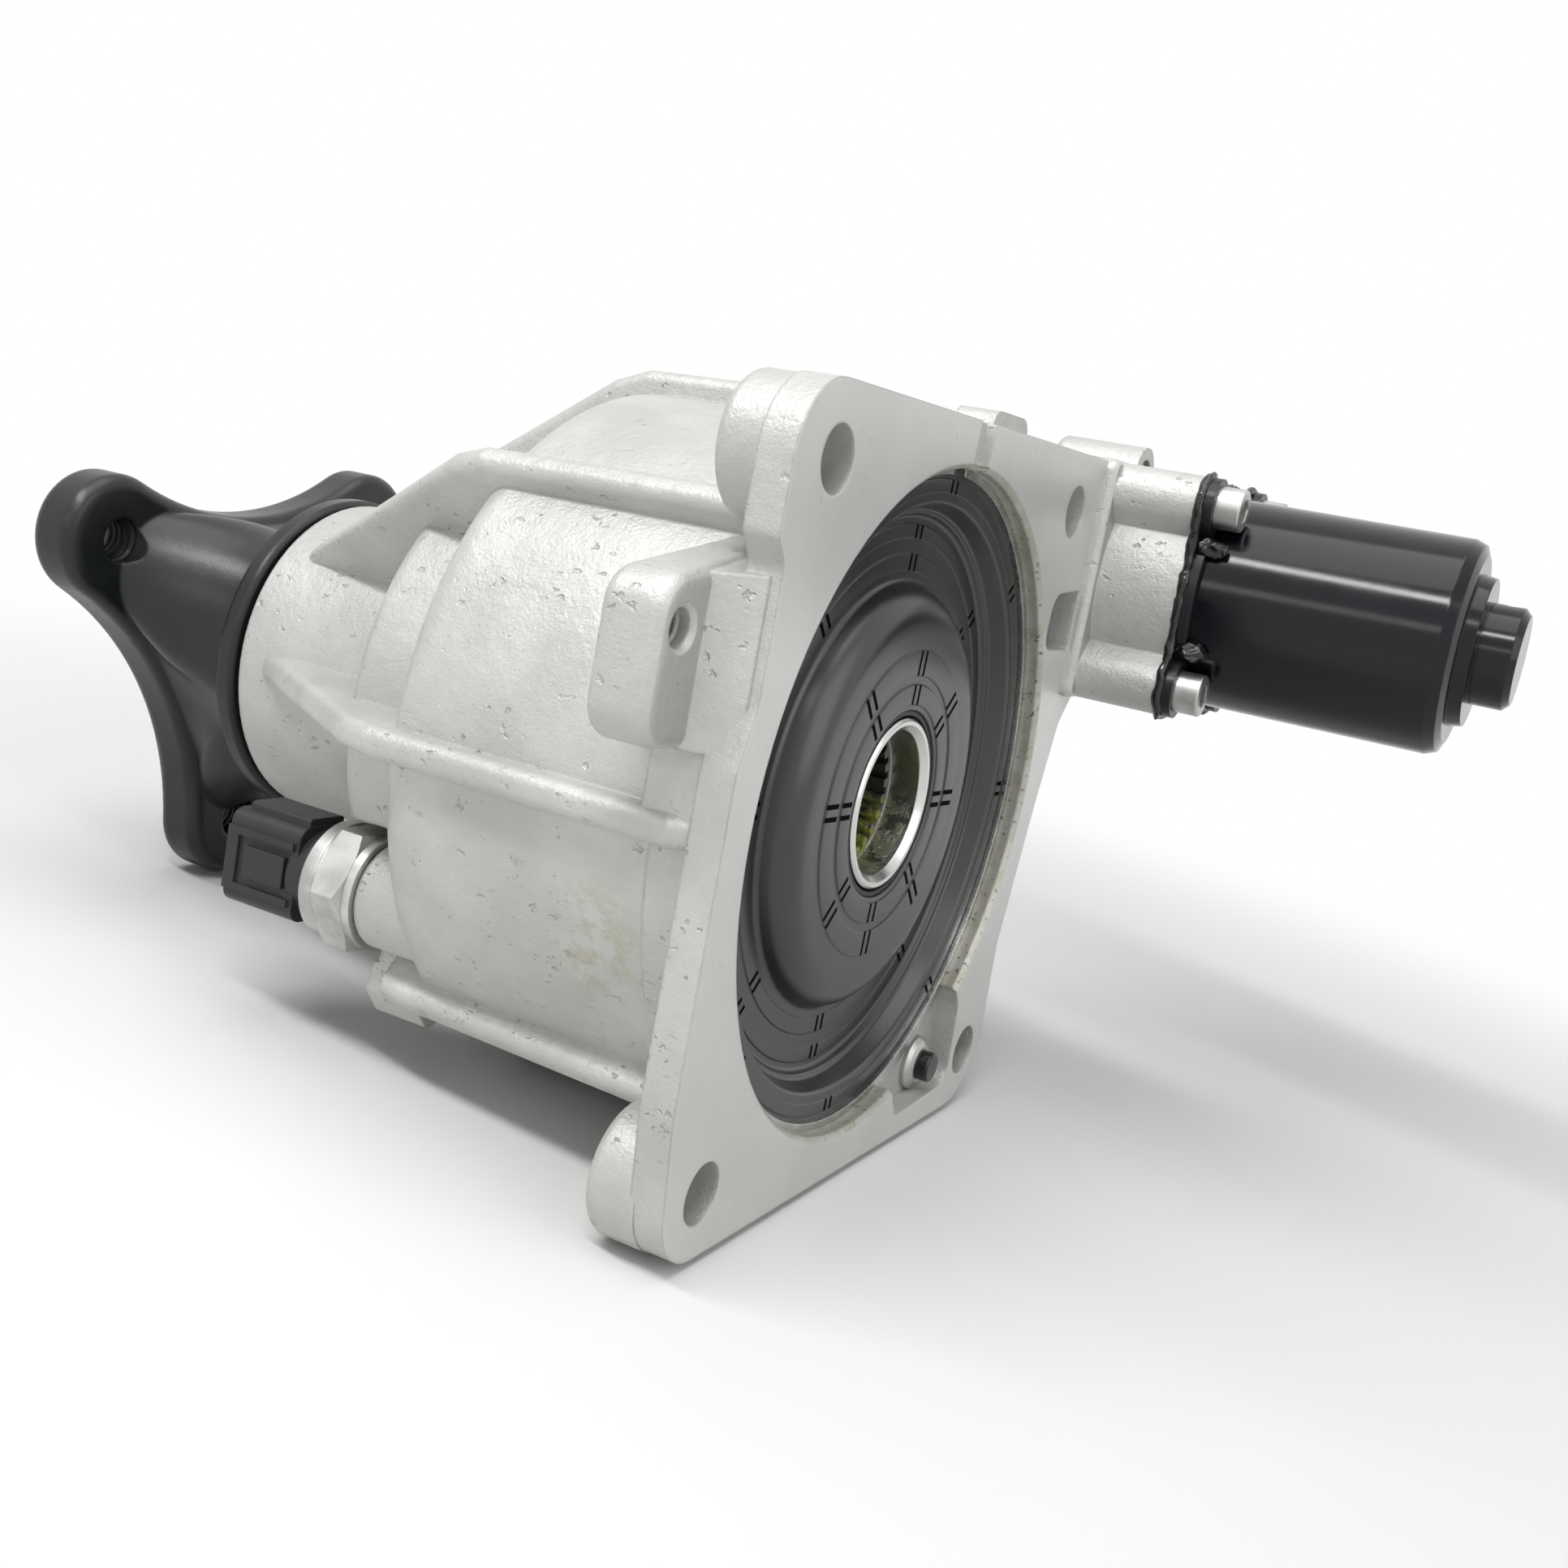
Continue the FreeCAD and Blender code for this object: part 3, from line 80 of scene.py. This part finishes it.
camera_data = bpy.data.cameras.new("view")
camera_data.sensor_width = 36.0
camera_data.sensor_height = 36.0
camera_data.sensor_fit = "HORIZONTAL"
camera_data.lens = lens_mm
camera_data.clip_start = 0.01
camera_data.clip_end = 20.0
camera = bpy.data.objects.new("view", camera_data)
right = Vector(camera_right)
up = -Vector(camera_down)
back = -Vector(camera_forward)
turn = Matrix((right, up, back)).transposed().to_4x4()
camera.matrix_world = Matrix.Translation(camera_place) @ turn
scene.collection.objects.link(camera)
scene.camera = camera
scene.view_settings.view_transform = "Standard"


class Wire:
    """A socket of a finish that takes part in arithmetic."""

    def __init__(self, finish, socket):
        self.finish = finish
        self.socket = socket

    def maths(self, operation, *values):
        return self.finish.node("Math", {"operation": operation}, dict(enumerate(values)))

    def __add__(self, other):
        return self.maths("ADD", self, other)

    def __radd__(self, other):
        return self.maths("ADD", other, self)

    def __sub__(self, other):
        return self.maths("SUBTRACT", self, other)

    def __rsub__(self, other):
        return self.maths("SUBTRACT", other, self)

    def __mul__(self, other):
        return self.maths("MULTIPLY", self, other)

    def __rmul__(self, other):
        return self.maths("MULTIPLY", other, self)

    def __truediv__(self, other):
        return self.maths("DIVIDE", self, other)

    def __pow__(self, other):
        return self.maths("POWER", self, other)

    def __abs__(self):
        return self.maths("ABSOLUTE", self)

    def fraction(self):
        return self.maths("FRACT", self)

    def largest(self, other):
        return self.maths("MAXIMUM", self, other)

    def smooth(self, low, high):
        """Nought below low and one above high, with a soft step between; high may be the lower."""
        return self.finish.node("MapRange", {"interpolation_type": "SMOOTHSTEP"},
                                {"Value": self, "From Min": low, "From Max": high})

    def band(self, low, high, soft):
        """One between low and high, with soft ends."""
        return self.smooth(low - soft, low + soft) * self.smooth(high + soft, high - soft)


class Finish:
    """A material built from nodes, in millimetres of the object's own coordinates."""

    def __init__(self, name, **values):
        self.material = bpy.data.materials.new(name)
        self.material.use_nodes = True
        self.tree = self.material.node_tree
        self.tree.nodes.clear()
        self.shader = self.tree.nodes.new("ShaderNodeBsdfPrincipled")
        self.output = self.tree.nodes.new("ShaderNodeOutputMaterial")
        self.tree.links.new(self.shader.outputs[0], self.output.inputs["Surface"])
        for key, value in values.items():
            self.feed(self.shader, key.replace("_", " "), value)
        spot = self.node("TexCoord", {}, {}, "Object")
        self.place = self.node("VectorMath", {"operation": "SCALE"}, {"Vector": spot, "Scale": 1 / mm})
        self.facing = self.node("TexCoord", {}, {}, "Normal")
        self.x, self.y, self.z = self.parts(self.place)

    def feed(self, node, key, value):
        socket = node.inputs[key]
        if isinstance(value, Wire):
            self.tree.links.new(value.socket, socket)
        elif isinstance(value, tuple) and len(value) == 3 and socket.type == "RGBA":
            socket.default_value = (*value, 1.0)
        else:
            socket.default_value = value

    def node(self, kind, settings, inputs, output=0):
        made = self.tree.nodes.new("ShaderNode" + kind)
        for key, value in settings.items():
            setattr(made, key, value)
        for key, value in inputs.items():
            self.feed(made, key, value)
        return Wire(self, made.outputs[output])

    def parts(self, vector):
        return [self.node("SeparateXYZ", {}, {0: vector}, i) for i in range(3)]

    def moved(self, scale, centre=(0.0, 0.0, 0.0)):
        """The coordinates centred on a point and scaled."""
        shifted = self.node("Mapping", {}, {"Vector": self.place, "Location": tuple(-c for c in centre)})
        return self.node("Mapping", {}, {"Vector": shifted, "Scale": scale})

    def noise(self, size, detail=2.0, rough=0.5, at=None):
        return self.node("TexNoise", {}, {"Vector": at or self.place, "Scale": 1.0 / size, "Detail": detail,
                                          "Roughness": rough})

    def cells(self, size, at):
        return self.node("TexVoronoi", {"feature": "F1"}, {"Vector": at, "Scale": 1.0 / size})

    def mix(self, share, first, second):
        return self.node("Mix", {"data_type": "RGBA"}, {0: share, 6: first, 7: second}, 2)

    def relief(self, height, depth_mm, before, strength):
        """The normal before, bent by a height."""
        return self.node("Bump", {}, {"Height": height, "Distance": depth_mm * mm, "Normal": before,
                                      "Strength": strength})

    def rounded(self, radius_mm):
        """The normal, rounded at edges."""
        return self.node("Bevel", {"samples": 4}, {"Radius": radius_mm * mm})

    def polar(self):
        """Radius and angle about the main axis."""
        radius = (self.y * self.y + self.z * self.z) ** 0.5
        return radius, self.z.maths("ARCTAN2", self.z, self.y)

    def set(self, **values):
        for key, value in values.items():
            self.feed(self.shader, key.replace("_", " "), value)


def dress(finish, *names):
    """Gives a finish to CAD nodes."""
    for name in names:
        mesh = nodes[name].data
        mesh.materials.clear()
        mesh.materials.append(finish.material)


def cast_aluminium():
    """As-cast, lightly shot-blasted aluminium with machined faces."""
    f = Finish("cast_aluminium", Specular_IOR_Level=0.6)
    nx = f.parts(f.facing)[0]
    radius = f.polar()[0]

    # Machined front and bore
    front = f.x.smooth(0.12, 0.02) * nx.smooth(-0.9, -0.98)
    bore = radius.smooth(bore_r + 0.3, bore_r - 0.1) * f.x.smooth(14.0, 13.0)
    machined = front.largest(bore)

    # Grain, pits, dents, stain and haze of the cast skin
    soft = f.noise(22.0, 3.0, 0.55)
    grain = f.noise(0.7, 3.0, 0.65)
    lumps = f.noise(3.2, 3.0, 0.55)
    bent = f.node("VectorMath", {"operation": "MULTIPLY_ADD"},
                  {0: f.node("TexNoise", {}, {"Vector": f.place, "Scale": 0.7, "Detail": 2.0}, 1),
                   1: (2.6, 2.6, 2.6), 2: f.moved(scale=(0.6, 1.3, 1.0))})
    cluster = f.noise(13.0, 2.0, 0.5).smooth(0.46, 0.6)
    pits = f.cells(3.0, bent).smooth(0.24, 0.08) * cluster
    dents = f.cells(1.5, bent).smooth(0.26, 0.1) * f.noise(7.0, 2.0).smooth(0.54, 0.66)
    dents = dents * (0.25 + 0.75 * f.z.smooth(10.0, -25.0))
    from_stain = f.moved(centre=stain_place, scale=(0.07, 0.05, 0.055))
    patch = f.node("VectorMath", {"operation": "LENGTH"}, {0: from_stain}, 1).smooth(1.0, 0.2)
    stain = patch * f.noise(4.5, 4.0, 0.65).smooth(0.4, 0.62)
    haze = f.noise(16.0, 4.0, 0.6).smooth(0.55, 0.72)

    # Colour of the skin, then of the faces that a cutter made
    colour = f.mix(soft.smooth(0.35, 0.7), (0.47, 0.475, 0.45), (0.55, 0.552, 0.53))
    colour = f.mix(haze * 0.3, colour, (0.46, 0.45, 0.4))
    colour = f.mix(stain * 0.55, colour, (0.36, 0.33, 0.2))
    colour = f.mix(pits * 0.3, colour, (0.25, 0.24, 0.22))
    colour = f.mix(dents * 0.4, colour, (0.2, 0.195, 0.18))
    milled = f.mix(soft.smooth(0.3, 0.7), (0.6, 0.61, 0.585), (0.64, 0.645, 0.62))
    colour = f.mix(front * 0.85, colour, milled)
    # Painted shade: the pump block's front face is darkened as if the light fell off towards it. The lug's
    # front is darker partly from its own machined tone and partly from painted shade.
    lug_face_tone_and_shade = f.x.band(9.4, 10.9, 0.2) * f.y.smooth(74.4, 75.4) * nx.smooth(-0.8, -0.95)
    pump_face_shade = f.x.smooth(-2.4, -2.8) * f.x.smooth(-3.6, -3.2) * nx.smooth(-0.85, -0.97)
    colour = f.mix(lug_face_tone_and_shade.largest(pump_face_shade) * 0.8, colour, (0.36, 0.365, 0.35))
    spots = f.noise(2.2, 2.0, 0.6).smooth(0.68, 0.74) * front
    colour = f.mix(spots * 0.35, colour, (0.3, 0.29, 0.26))
    rim_stain = f.noise(5.0, 4.0, 0.65).smooth(0.42, 0.62)
    speckle = f.noise(1.3, 2.0, 0.6).smooth(0.62, 0.7)
    wall = bore * f.x.smooth(-0.5, 0.6)
    colour = f.mix(wall * (0.35 + 0.45 * rim_stain), colour, (0.36, 0.345, 0.27))
    colour = f.mix(wall * speckle * 0.8, colour, (0.07, 0.06, 0.05))

    # Relief of the skin, and turning rings on the front
    normal = f.rounded(0.9)
    height = grain * 0.32 + lumps * 0.5 - pits * 0.6 - dents * 0.6
    normal = f.relief(height * (1.0 - machined), 0.62, normal, 0.85)
    rings = f.noise(0.35, 1.0, 0.5, f.node("CombineXYZ", {}, {0: radius}))
    normal = f.relief(rings * front, 0.015, normal, 0.3)
    f.set(Base_Color=colour, Normal=normal, Metallic=0.3 + 0.15 * machined,
          Roughness=0.42 - 0.05 * machined + 0.1 * stain + 0.1 * (grain - 0.5))
    return f


def plain_steel(name, colour, rough):
    """Machined metal with faint turning lines."""
    f = Finish(name, Metallic=1.0)
    lines = f.noise(0.5, 2.0, 0.5, f.moved(scale=(6.0, 1.0, 1.0)))
    cloud = f.noise(7.0, 3.0, 0.5)
    dark = tuple(c * 0.72 for c in colour)
    f.set(Base_Color=f.mix(cloud.smooth(0.35, 0.7), dark, colour), Roughness=rough + 0.12 * (lines - 0.5),
          Normal=f.relief(lines, 0.03, f.rounded(0.35), 0.5))
    return f


def coated(name, colour, rough, level, orange_peel=0.03, size=1.4):
    """Paint or rubber with a fine surface; level is how strongly it mirrors the room."""
    f = Finish(name, Metallic=0.0, Specular_IOR_Level=level)
    peel = f.noise(size, 2.0, 0.5)
    dust = f.noise(0.8, 2.0, 0.7).smooth(0.68, 0.78)
    lighter = tuple(c * 1.6 + 0.012 for c in colour)
    f.set(Base_Color=f.mix(dust * 0.5, colour, lighter), Roughness=rough + 0.08 * (f.noise(9.0) - 0.5),
          Normal=f.relief(peel, orange_peel, f.rounded(0.5), 0.6))
    return f


def forging():
    """Black-coated forged steel: semi-gloss and slightly uneven."""
    f = Finish("black_coated_steel", Metallic=0.0, Specular_IOR_Level=0.45)
    cloud = f.noise(16.0, 3.0, 0.5)
    colour = f.mix(cloud.smooth(0.3, 0.7), (0.006, 0.0075, 0.008), (0.012, 0.014, 0.014))
    normal = f.relief(f.noise(0.6, 3.0, 0.6), 0.05, f.rounded(1.2), 0.5)
    normal = f.relief(f.noise(5.0, 2.0, 0.5), 0.3, normal, 0.3)
    f.set(Base_Color=colour, Normal=normal, Roughness=0.33 + 0.1 * (cloud - 0.5))
    return f


def hub_steel():
    """Ground steel, darker inside the splined bore, with smears of yellow-green grease low in the bore."""
    f = Finish("greased_hub")
    radius = f.polar()[0]
    inside = radius.smooth(15.8, 14.6) * f.x.smooth(5.0, 8.0)
    smeared = f.noise(3.0, 4.0, 0.7, f.moved(scale=(0.7, 1.0, 1.4))).smooth(0.42, 0.56)
    grease = inside * (smeared * f.z.smooth(3.0, -7.0))
    lines = f.noise(0.4, 2.0, 0.5, f.moved(scale=(6.0, 1.0, 1.0)))
    colour = f.mix(inside * 0.85, (0.62, 0.62, 0.6), (0.1, 0.1, 0.085))
    colour = f.mix(grease, colour, (0.3, 0.32, 0.05))
    normal = f.relief(lines * (1.0 - grease), 0.02, f.rounded(0.3), 0.5)
    normal = f.relief(f.noise(1.4, 3.0, 0.6) * grease, 0.7, normal, 0.8)
    f.set(Base_Color=colour, Normal=normal, Metallic=1.0 - 0.9 * grease,
          Roughness=0.2 + 0.08 * lines + 0.1 * inside)
    return f


casting = cast_aluminium()
forged = forging()
greased = hub_steel()
bright = plain_steel("bright_steel", (0.62, 0.62, 0.6), 0.26)
plated = plain_steel("plated_steel", (0.6, 0.6, 0.58), 0.38)
paint = coated("black_gloss_paint", (0.002, 0.003, 0.005), 0.14, 0.34, 0.015, 3.0)
pressed = coated("black_motor_flange", (0.01, 0.011, 0.012), 0.3, 0.35)
rubber = coated("black_rubber", (0.012, 0.012, 0.013), 0.5, 0.4)
plastic = coated("black_plastic", (0.022, 0.024, 0.025), 0.42, 0.4, 0.03, 0.5)
glossy_pin = coated("black_pin", (0.008, 0.008, 0.009), 0.2, 0.5)
paper = coated("friction_paper", (0.14, 0.09, 0.05), 0.85, 0.3, 0.05, 0.4)
ferrite = coated("ferrite", (0.06, 0.06, 0.065), 0.6, 0.4)
carbon = coated("carbon", (0.03, 0.03, 0.03), 0.55, 0.3)
copper = plain_steel("copper", (0.72, 0.36, 0.2), 0.32)
bronze = plain_steel("sintered_bronze", (0.5, 0.36, 0.16), 0.5)
tin = plain_steel("tinned_terminal", (0.72, 0.7, 0.64), 0.3)

dress(casting, "main_housing", "piston", "pump_port_plate")
dress(bright, "cover_snap_ring", "bearing_outer_race", "bearing_circlip", "spring_snap_ring",
      "piston_return_spring", "gallery_plug", "input_shaft", "disc_carrier", "bearing_inner_race",
      "hub_cup_plug", "clutch_drum", "backing_plate", "steel_plates", "drum_snap_ring",
      "pressure_plate", "thrust_race_front", "thrust_race_rear", "thrust_rollers", "bearing_balls",
      "motor_shaft", "motor_core", "gerotor_inner", "gerotor_outer")
dress(greased, "output_hub")
dress(plated, "vent_ferrule", "motor_screws", "sensor_washer", "sensor_body", "flange_nut")
dress(forged, "companion_flange", "dust_shield")
dress(pressed, "motor_flange")
dress(paint, "motor_can")
dress(rubber, "front_cover", "hub_lip_seal", "shaft_seal", "piston_seals", "pump_gasket", "pump_shaft_seal")
dress(glossy_pin, "vent_pin")
dress(plastic, "sensor_connector", "motor_brush_holder", "thrust_cage", "ball_cage")
dress(paper, "friction_discs")
dress(ferrite, "motor_magnets")
dress(copper, "motor_windings", "motor_commutator")
dress(bronze, "motor_bushing", "pilot_bushing")
dress(carbon, "motor_brushes")
dress(tin, "sensor_terminals")


def finished(bm, name, finish, slot, body, *replaced, sharp=35.0):
    """Makes an object from a bmesh in millimetres and lets it ride on a body."""
    bmesh.ops.recalc_face_normals(bm, faces=bm.faces)
    bmesh.ops.scale(bm, verts=bm.verts, vec=(mm, mm, mm))
    for face in bm.faces:
        face.smooth = True
    mesh = bpy.data.meshes.new(name)
    bm.to_mesh(mesh)
    bm.free()
    mesh.set_sharp_from_angle(angle=math.radians(sharp))
    mesh.materials.append(finish.material)
    piece = bpy.data.objects.new(name, mesh)
    scene.collection.objects.link(piece)
    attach(piece, body)
    if replaced:
        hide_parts(*replaced)
    return piece


def outline(bm, points, y=0.0, z=0.0):
    """A closed wire of (x, radius) or (x, radius, rounding) points in the XY plane through an axis."""
    made = [bm.verts.new((p[0], y + p[1], z)) for p in points]
    for pair in zip(made, made[1:] + made[:1]):
        bm.edges.new(pair)
    for vert, point in zip(made, points):
        if len(point) > 2:
            bmesh.ops.bevel(bm, geom=[vert], offset=point[2], affect="VERTICES", segments=7, profile=0.5,
                            material=-1)


def turned(points, steps):
    """A bmesh turned about the main axis from a closed outline."""
    bm = bmesh.new()
    outline(bm, points)
    bmesh.ops.spin(bm, geom=bm.verts[:] + bm.edges[:], cent=(0, 0, 0), axis=(1, 0, 0),
                   angle=2 * math.pi, steps=steps, use_merge=True)
    bmesh.ops.remove_doubles(bm, verts=bm.verts, dist=1e-4)
    return bm


def cover_finish():
    """Satin rubber over steel, with pairs of short grooves across the raised bands."""
    f = Finish("coated_cover", Specular_IOR_Level=0.8)
    radius, angle = f.polar()
    sector = math.pi / 4
    along = ((angle / sector + 0.47).fraction() - 0.5) * radius * sector
    pair = abs(abs(along) - 1.25).smooth(0.56, 0.42)
    bands = None
    for low, high in cover_bands:
        band = radius.band(low - 0.1, high + 0.1, 0.12)
        bands = band if bands is None else bands.largest(band)
    groove = pair * bands
    dust = f.noise(0.9, 2.0, 0.7).smooth(0.7, 0.78)
    cloud = f.noise(18.0, 3.0, 0.5)
    colour = f.mix(cloud.smooth(0.3, 0.7), (0.006, 0.008, 0.008), (0.011, 0.013, 0.0125))
    colour = f.mix(dust * 0.5, colour, (0.05, 0.055, 0.05))
    colour = f.mix(groove, colour, (0.003, 0.003, 0.003))
    normal = f.relief(f.noise(0.5, 2.0, 0.6), 0.02, f.rounded(0.3), 0.4)
    normal = f.relief(1.0 - groove, 0.7, normal, 1.0)
    f.set(Base_Color=colour, Normal=normal, Roughness=0.26 + 0.08 * cloud + 0.66 * groove,
          Metallic=groove)
    return f


def cover():
    """The front cover: flat face, domed shoulder, ring valley and outer land, with raised bands."""
    face_x = 4.4
    valley_x = 11.0
    land_x = 5.4
    rise = 0.28

    def bands(x, picked):
        points = []
        for low, high in picked:
            points += [(x, high + 0.2), (x - rise, high, 0.05), (x - rise, low, 0.05), (x, low - 0.2)]
        return points

    front = [(land_x, 68.9)] + bands(land_x, cover_bands[4:])
    front += [(land_x, 61.5, 0.7), (9.4, 59.9, 0.5), (9.6, 58.9, 0.3), (valley_x, 58.2, 0.7)]
    front += bands(valley_x, cover_bands[3:4]) + bands(valley_x, cover_bands[2:3])
    front += [(valley_x, 44.9, 0.9), (face_x, 42.3, 4.6), (face_x, 35.5)]
    front += bands(face_x, cover_bands[1:2]) + bands(face_x, cover_bands[:1])
    front += [(face_x, 19.7, 0.3), (6.4, 19.6)]
    rear = [(6.4, 36.4), (13.0, 43.9), (13.0, 58.8), (8.4, 63.0), (7.4, 66.6), (13.5, 66.6), (13.5, 68.9)]
    finished(turned(front + rear, 240), "cover", cover_finish(), "coated_cover", "housing", "front_cover")


cover()


def thread(name, finish, slot, body, span, radius, pitch, y, z):
    """The ridges of an internal thread, as one coil in a hole along X."""
    steps = 40
    start, end = span
    count = int((end - start) / pitch)
    root_r = radius + 0.12
    crest_r = radius - pitch * 0.42
    bm = bmesh.new()
    outline(bm, [(start, root_r), (start + pitch * 0.44, crest_r), (start + pitch * 0.56, crest_r),
                 (start + pitch * 0.99, root_r)], y, z)
    bmesh.ops.contextual_create(bm, geom=bm.edges[:])
    bmesh.ops.spin(bm, geom=bm.verts[:] + bm.edges[:] + bm.faces[:], cent=(0, y, z), axis=(1, 0, 0),
                   dvec=(pitch / steps, 0, 0), angle=2 * math.pi * (count - 1), steps=steps * (count - 1))
    finished(bm, name, finish, slot, body, sharp=50)


for i in range(3):
    at = math.radians(flange_turn + 120 * i)
    thread("flange_thread_%d" % (i + 1), forged, "black_coated_steel", "input_shaft", flange_hole_x,
           flange_hole_r, flange_thread_pitch, flange_hole_circle_r * math.cos(at),
           flange_hole_circle_r * math.sin(at))
thread("lug_thread", casting, "cast_aluminium", "housing", lug_hole_x, lug_hole_r, lug_thread_pitch,
       lug_hole_y, lug_hole_z)


def wobble(bm, amount, size):
    """Moves vertices by smooth noise, for ragged sealant."""
    for vert in bm.verts:
        push = noise.noise_vector(Vector(vert.co) / size)
        vert.co += Vector((push.x * 0.6, push.y, push.z)) * amount


def sealant_bead():
    """The bead squeezed out round the pump's gasket, along its four-lobed outline."""
    quarter = ((0, 27.5), (18, 27.7), (29, 30.6), (37, 36.2), (45, 38.0), (53, 36.2), (61, 30.6),
               (72, 27.7))
    path = bpy.data.curves.new("bead", "CURVE")
    path.dimensions = "3D"
    line = path.splines.new("NURBS")
    line.points.add(4 * len(quarter) - 1)
    for i, point in enumerate(line.points):
        degrees, reach = quarter[i % len(quarter)]
        angle = math.radians(degrees + 90 * (i // len(quarter)))
        point.co = (gasket_mid_x, motor_y + reach * math.cos(angle), motor_z + reach * math.sin(angle), 1.0)
    line.use_cyclic_u = True
    line.order_u = 3
    line.resolution_u = 8
    path.bevel_depth = 1.15
    path.bevel_resolution = 3
    holder = bpy.data.objects.new("bead", path)
    mesh = bpy.data.meshes.new_from_object(holder)
    bm = bmesh.new()
    bm.from_mesh(mesh)
    bmesh.ops.remove_doubles(bm, verts=bm.verts, dist=0.01)
    bpy.data.objects.remove(holder)
    wobble(bm, 0.75, 2.2)
    wobble(bm, 0.3, 0.8)
    finished(bm, "sealant_bead", sealant, "black_rubber", "housing", sharp=60)


def smear(name, place, size):
    """A lump of sealant pressed against the motor's foot."""
    bm = bmesh.new()
    bmesh.ops.create_icosphere(bm, subdivisions=4, radius=1.0)
    bmesh.ops.scale(bm, verts=bm.verts, vec=size)
    bmesh.ops.translate(bm, verts=bm.verts, vec=place)
    wobble(bm, 0.9, 2.0)
    wobble(bm, 0.3, 0.7)
    finished(bm, name, sealant, "black_rubber", "housing", sharp=60)


sealant = coated("black_sealant", (0.006, 0.006, 0.007), 0.16, 0.55, 0.25, 1.3)
sealant_bead()
smears = ((27, 27.2, 4.5), (61, 27.5, 3.4), (-27, 27.0, 4.6), (119, 27.2, 3.5))
smear_r = 2.2
for i, (degrees, reach, half_len) in enumerate(smears):
    angle = math.radians(degrees)
    place = (motor_foot_x, motor_y + reach * math.cos(angle), motor_z + reach * math.sin(angle))
    smear("sealant_smear_%d" % (i + 1), place, (half_len, smear_r, smear_r))


def return_spring():
    """The disc spring, as a piece of its own with a mesh of its own."""
    bm = bmesh.new()
    bm.from_mesh(nodes["piston_return_spring"].data)
    bmesh.ops.remove_doubles(bm, verts=bm.verts, dist=1e-6)
    bmesh.ops.scale(bm, verts=bm.verts, vec=(1 / mm, 1 / mm, 1 / mm))
    spring = finished(bm, "return_spring", bright, "bright_steel", "housing", "piston_return_spring")
    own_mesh(spring)


return_spring()

# Floor, tilted so that the plate's foot and the lowest flange arm both stand on it
floor_tilt = math.radians(4.95)
foot_x = 0.0145
foot_z = -0.0784
floor_half = 4.0
fade_start_mm = 230.0
fade_end_mm = 520.0
bm = bmesh.new()
bmesh.ops.create_grid(bm, x_segments=1, y_segments=1, size=floor_half)
bmesh.ops.rotate(bm, verts=bm.verts, cent=(0, 0, 0), matrix=Matrix.Rotation(-floor_tilt, 3, "Y"))
bmesh.ops.translate(bm, verts=bm.verts, vec=(foot_x, 0, foot_z))
floor_mesh = bpy.data.meshes.new("floor")
bm.to_mesh(floor_mesh)
bm.free()
floor = bpy.data.objects.new("floor", floor_mesh)
scene.collection.objects.link(floor)
paper_white = Finish("studio_white", Base_Color=(0.79, 0.795, 0.785), Roughness=1.0, Specular_IOR_Level=0.0)
across = paper_white.x
along = paper_white.y
far = ((across * across + along * along) ** 0.5).smooth(fade_start_mm, fade_end_mm)
glow = paper_white.node("Emission", {}, {"Color": (1.0, 1.0, 1.0)})
lit = Wire(paper_white, paper_white.shader.outputs[0])
shown = paper_white.node("MixShader", {}, {0: far, 1: lit, 2: glow})
paper_white.tree.links.new(shown.socket, paper_white.output.inputs["Surface"])
floor_mesh.materials.append(paper_white.material)

# Room, white where it is seen or mirrored and dim as a light
world = bpy.data.worlds.new("studio")
scene.world = world
world.use_nodes = True
tree = world.node_tree
tree.nodes.clear()
rays = tree.nodes.new("ShaderNodeLightPath").outputs
seen = rays["Is Camera Ray"]
for kind in ("Is Glossy Ray", "Is Transmission Ray"):
    either = tree.nodes.new("ShaderNodeMath")
    either.operation = "MAXIMUM"
    tree.links.new(seen, either.inputs[0])
    tree.links.new(rays[kind], either.inputs[1])
    seen = either.outputs[0]
dim = tree.nodes.new("ShaderNodeBackground")
dim.inputs["Color"].default_value = (0.97, 0.98, 1.0, 1.0)
dim.inputs["Strength"].default_value = 0.28
clear = tree.nodes.new("ShaderNodeBackground")
clear.inputs["Color"].default_value = (1.0, 1.0, 1.0, 1.0)
choose = tree.nodes.new("ShaderNodeMixShader")
tree.links.new(seen, choose.inputs[0])
tree.links.new(dim.outputs[0], choose.inputs[1])
tree.links.new(clear.outputs[0], choose.inputs[2])
end = tree.nodes.new("ShaderNodeOutputWorld")
tree.links.new(choose.outputs[0], end.inputs["Surface"])


def softbox(name, place, aim, size, watts):
    """A rectangular area lamp pointed at a spot."""
    data = bpy.data.lights.new(name, "AREA")
    data.shape = "RECTANGLE"
    data.size, data.size_y = size
    data.energy = watts
    lamp = bpy.data.objects.new(name, data)
    lamp.location = place
    lamp.rotation_euler = (Vector(aim) - Vector(place)).to_track_quat("-Z", "Y").to_euler()
    scene.collection.objects.link(lamp)


softbox("top", (0.0, 0.05, 1.1), (0.03, -0.02, 0.0), (0.9, 0.8), 5.0)
softbox("strip", (0.12, 0.476, 0.707), (0.0, -0.05, 0.02), (0.9, 0.08), 5.6)
softbox("window", (0.2, 1.1, 0.42), (0.0, 0.0, 0.0), (0.9, 0.14), 0.9)
softbox("right", (-0.9, 0.15, 0.45), (0.0, 0.0, 0.0), (0.8, 0.8), 2.4)
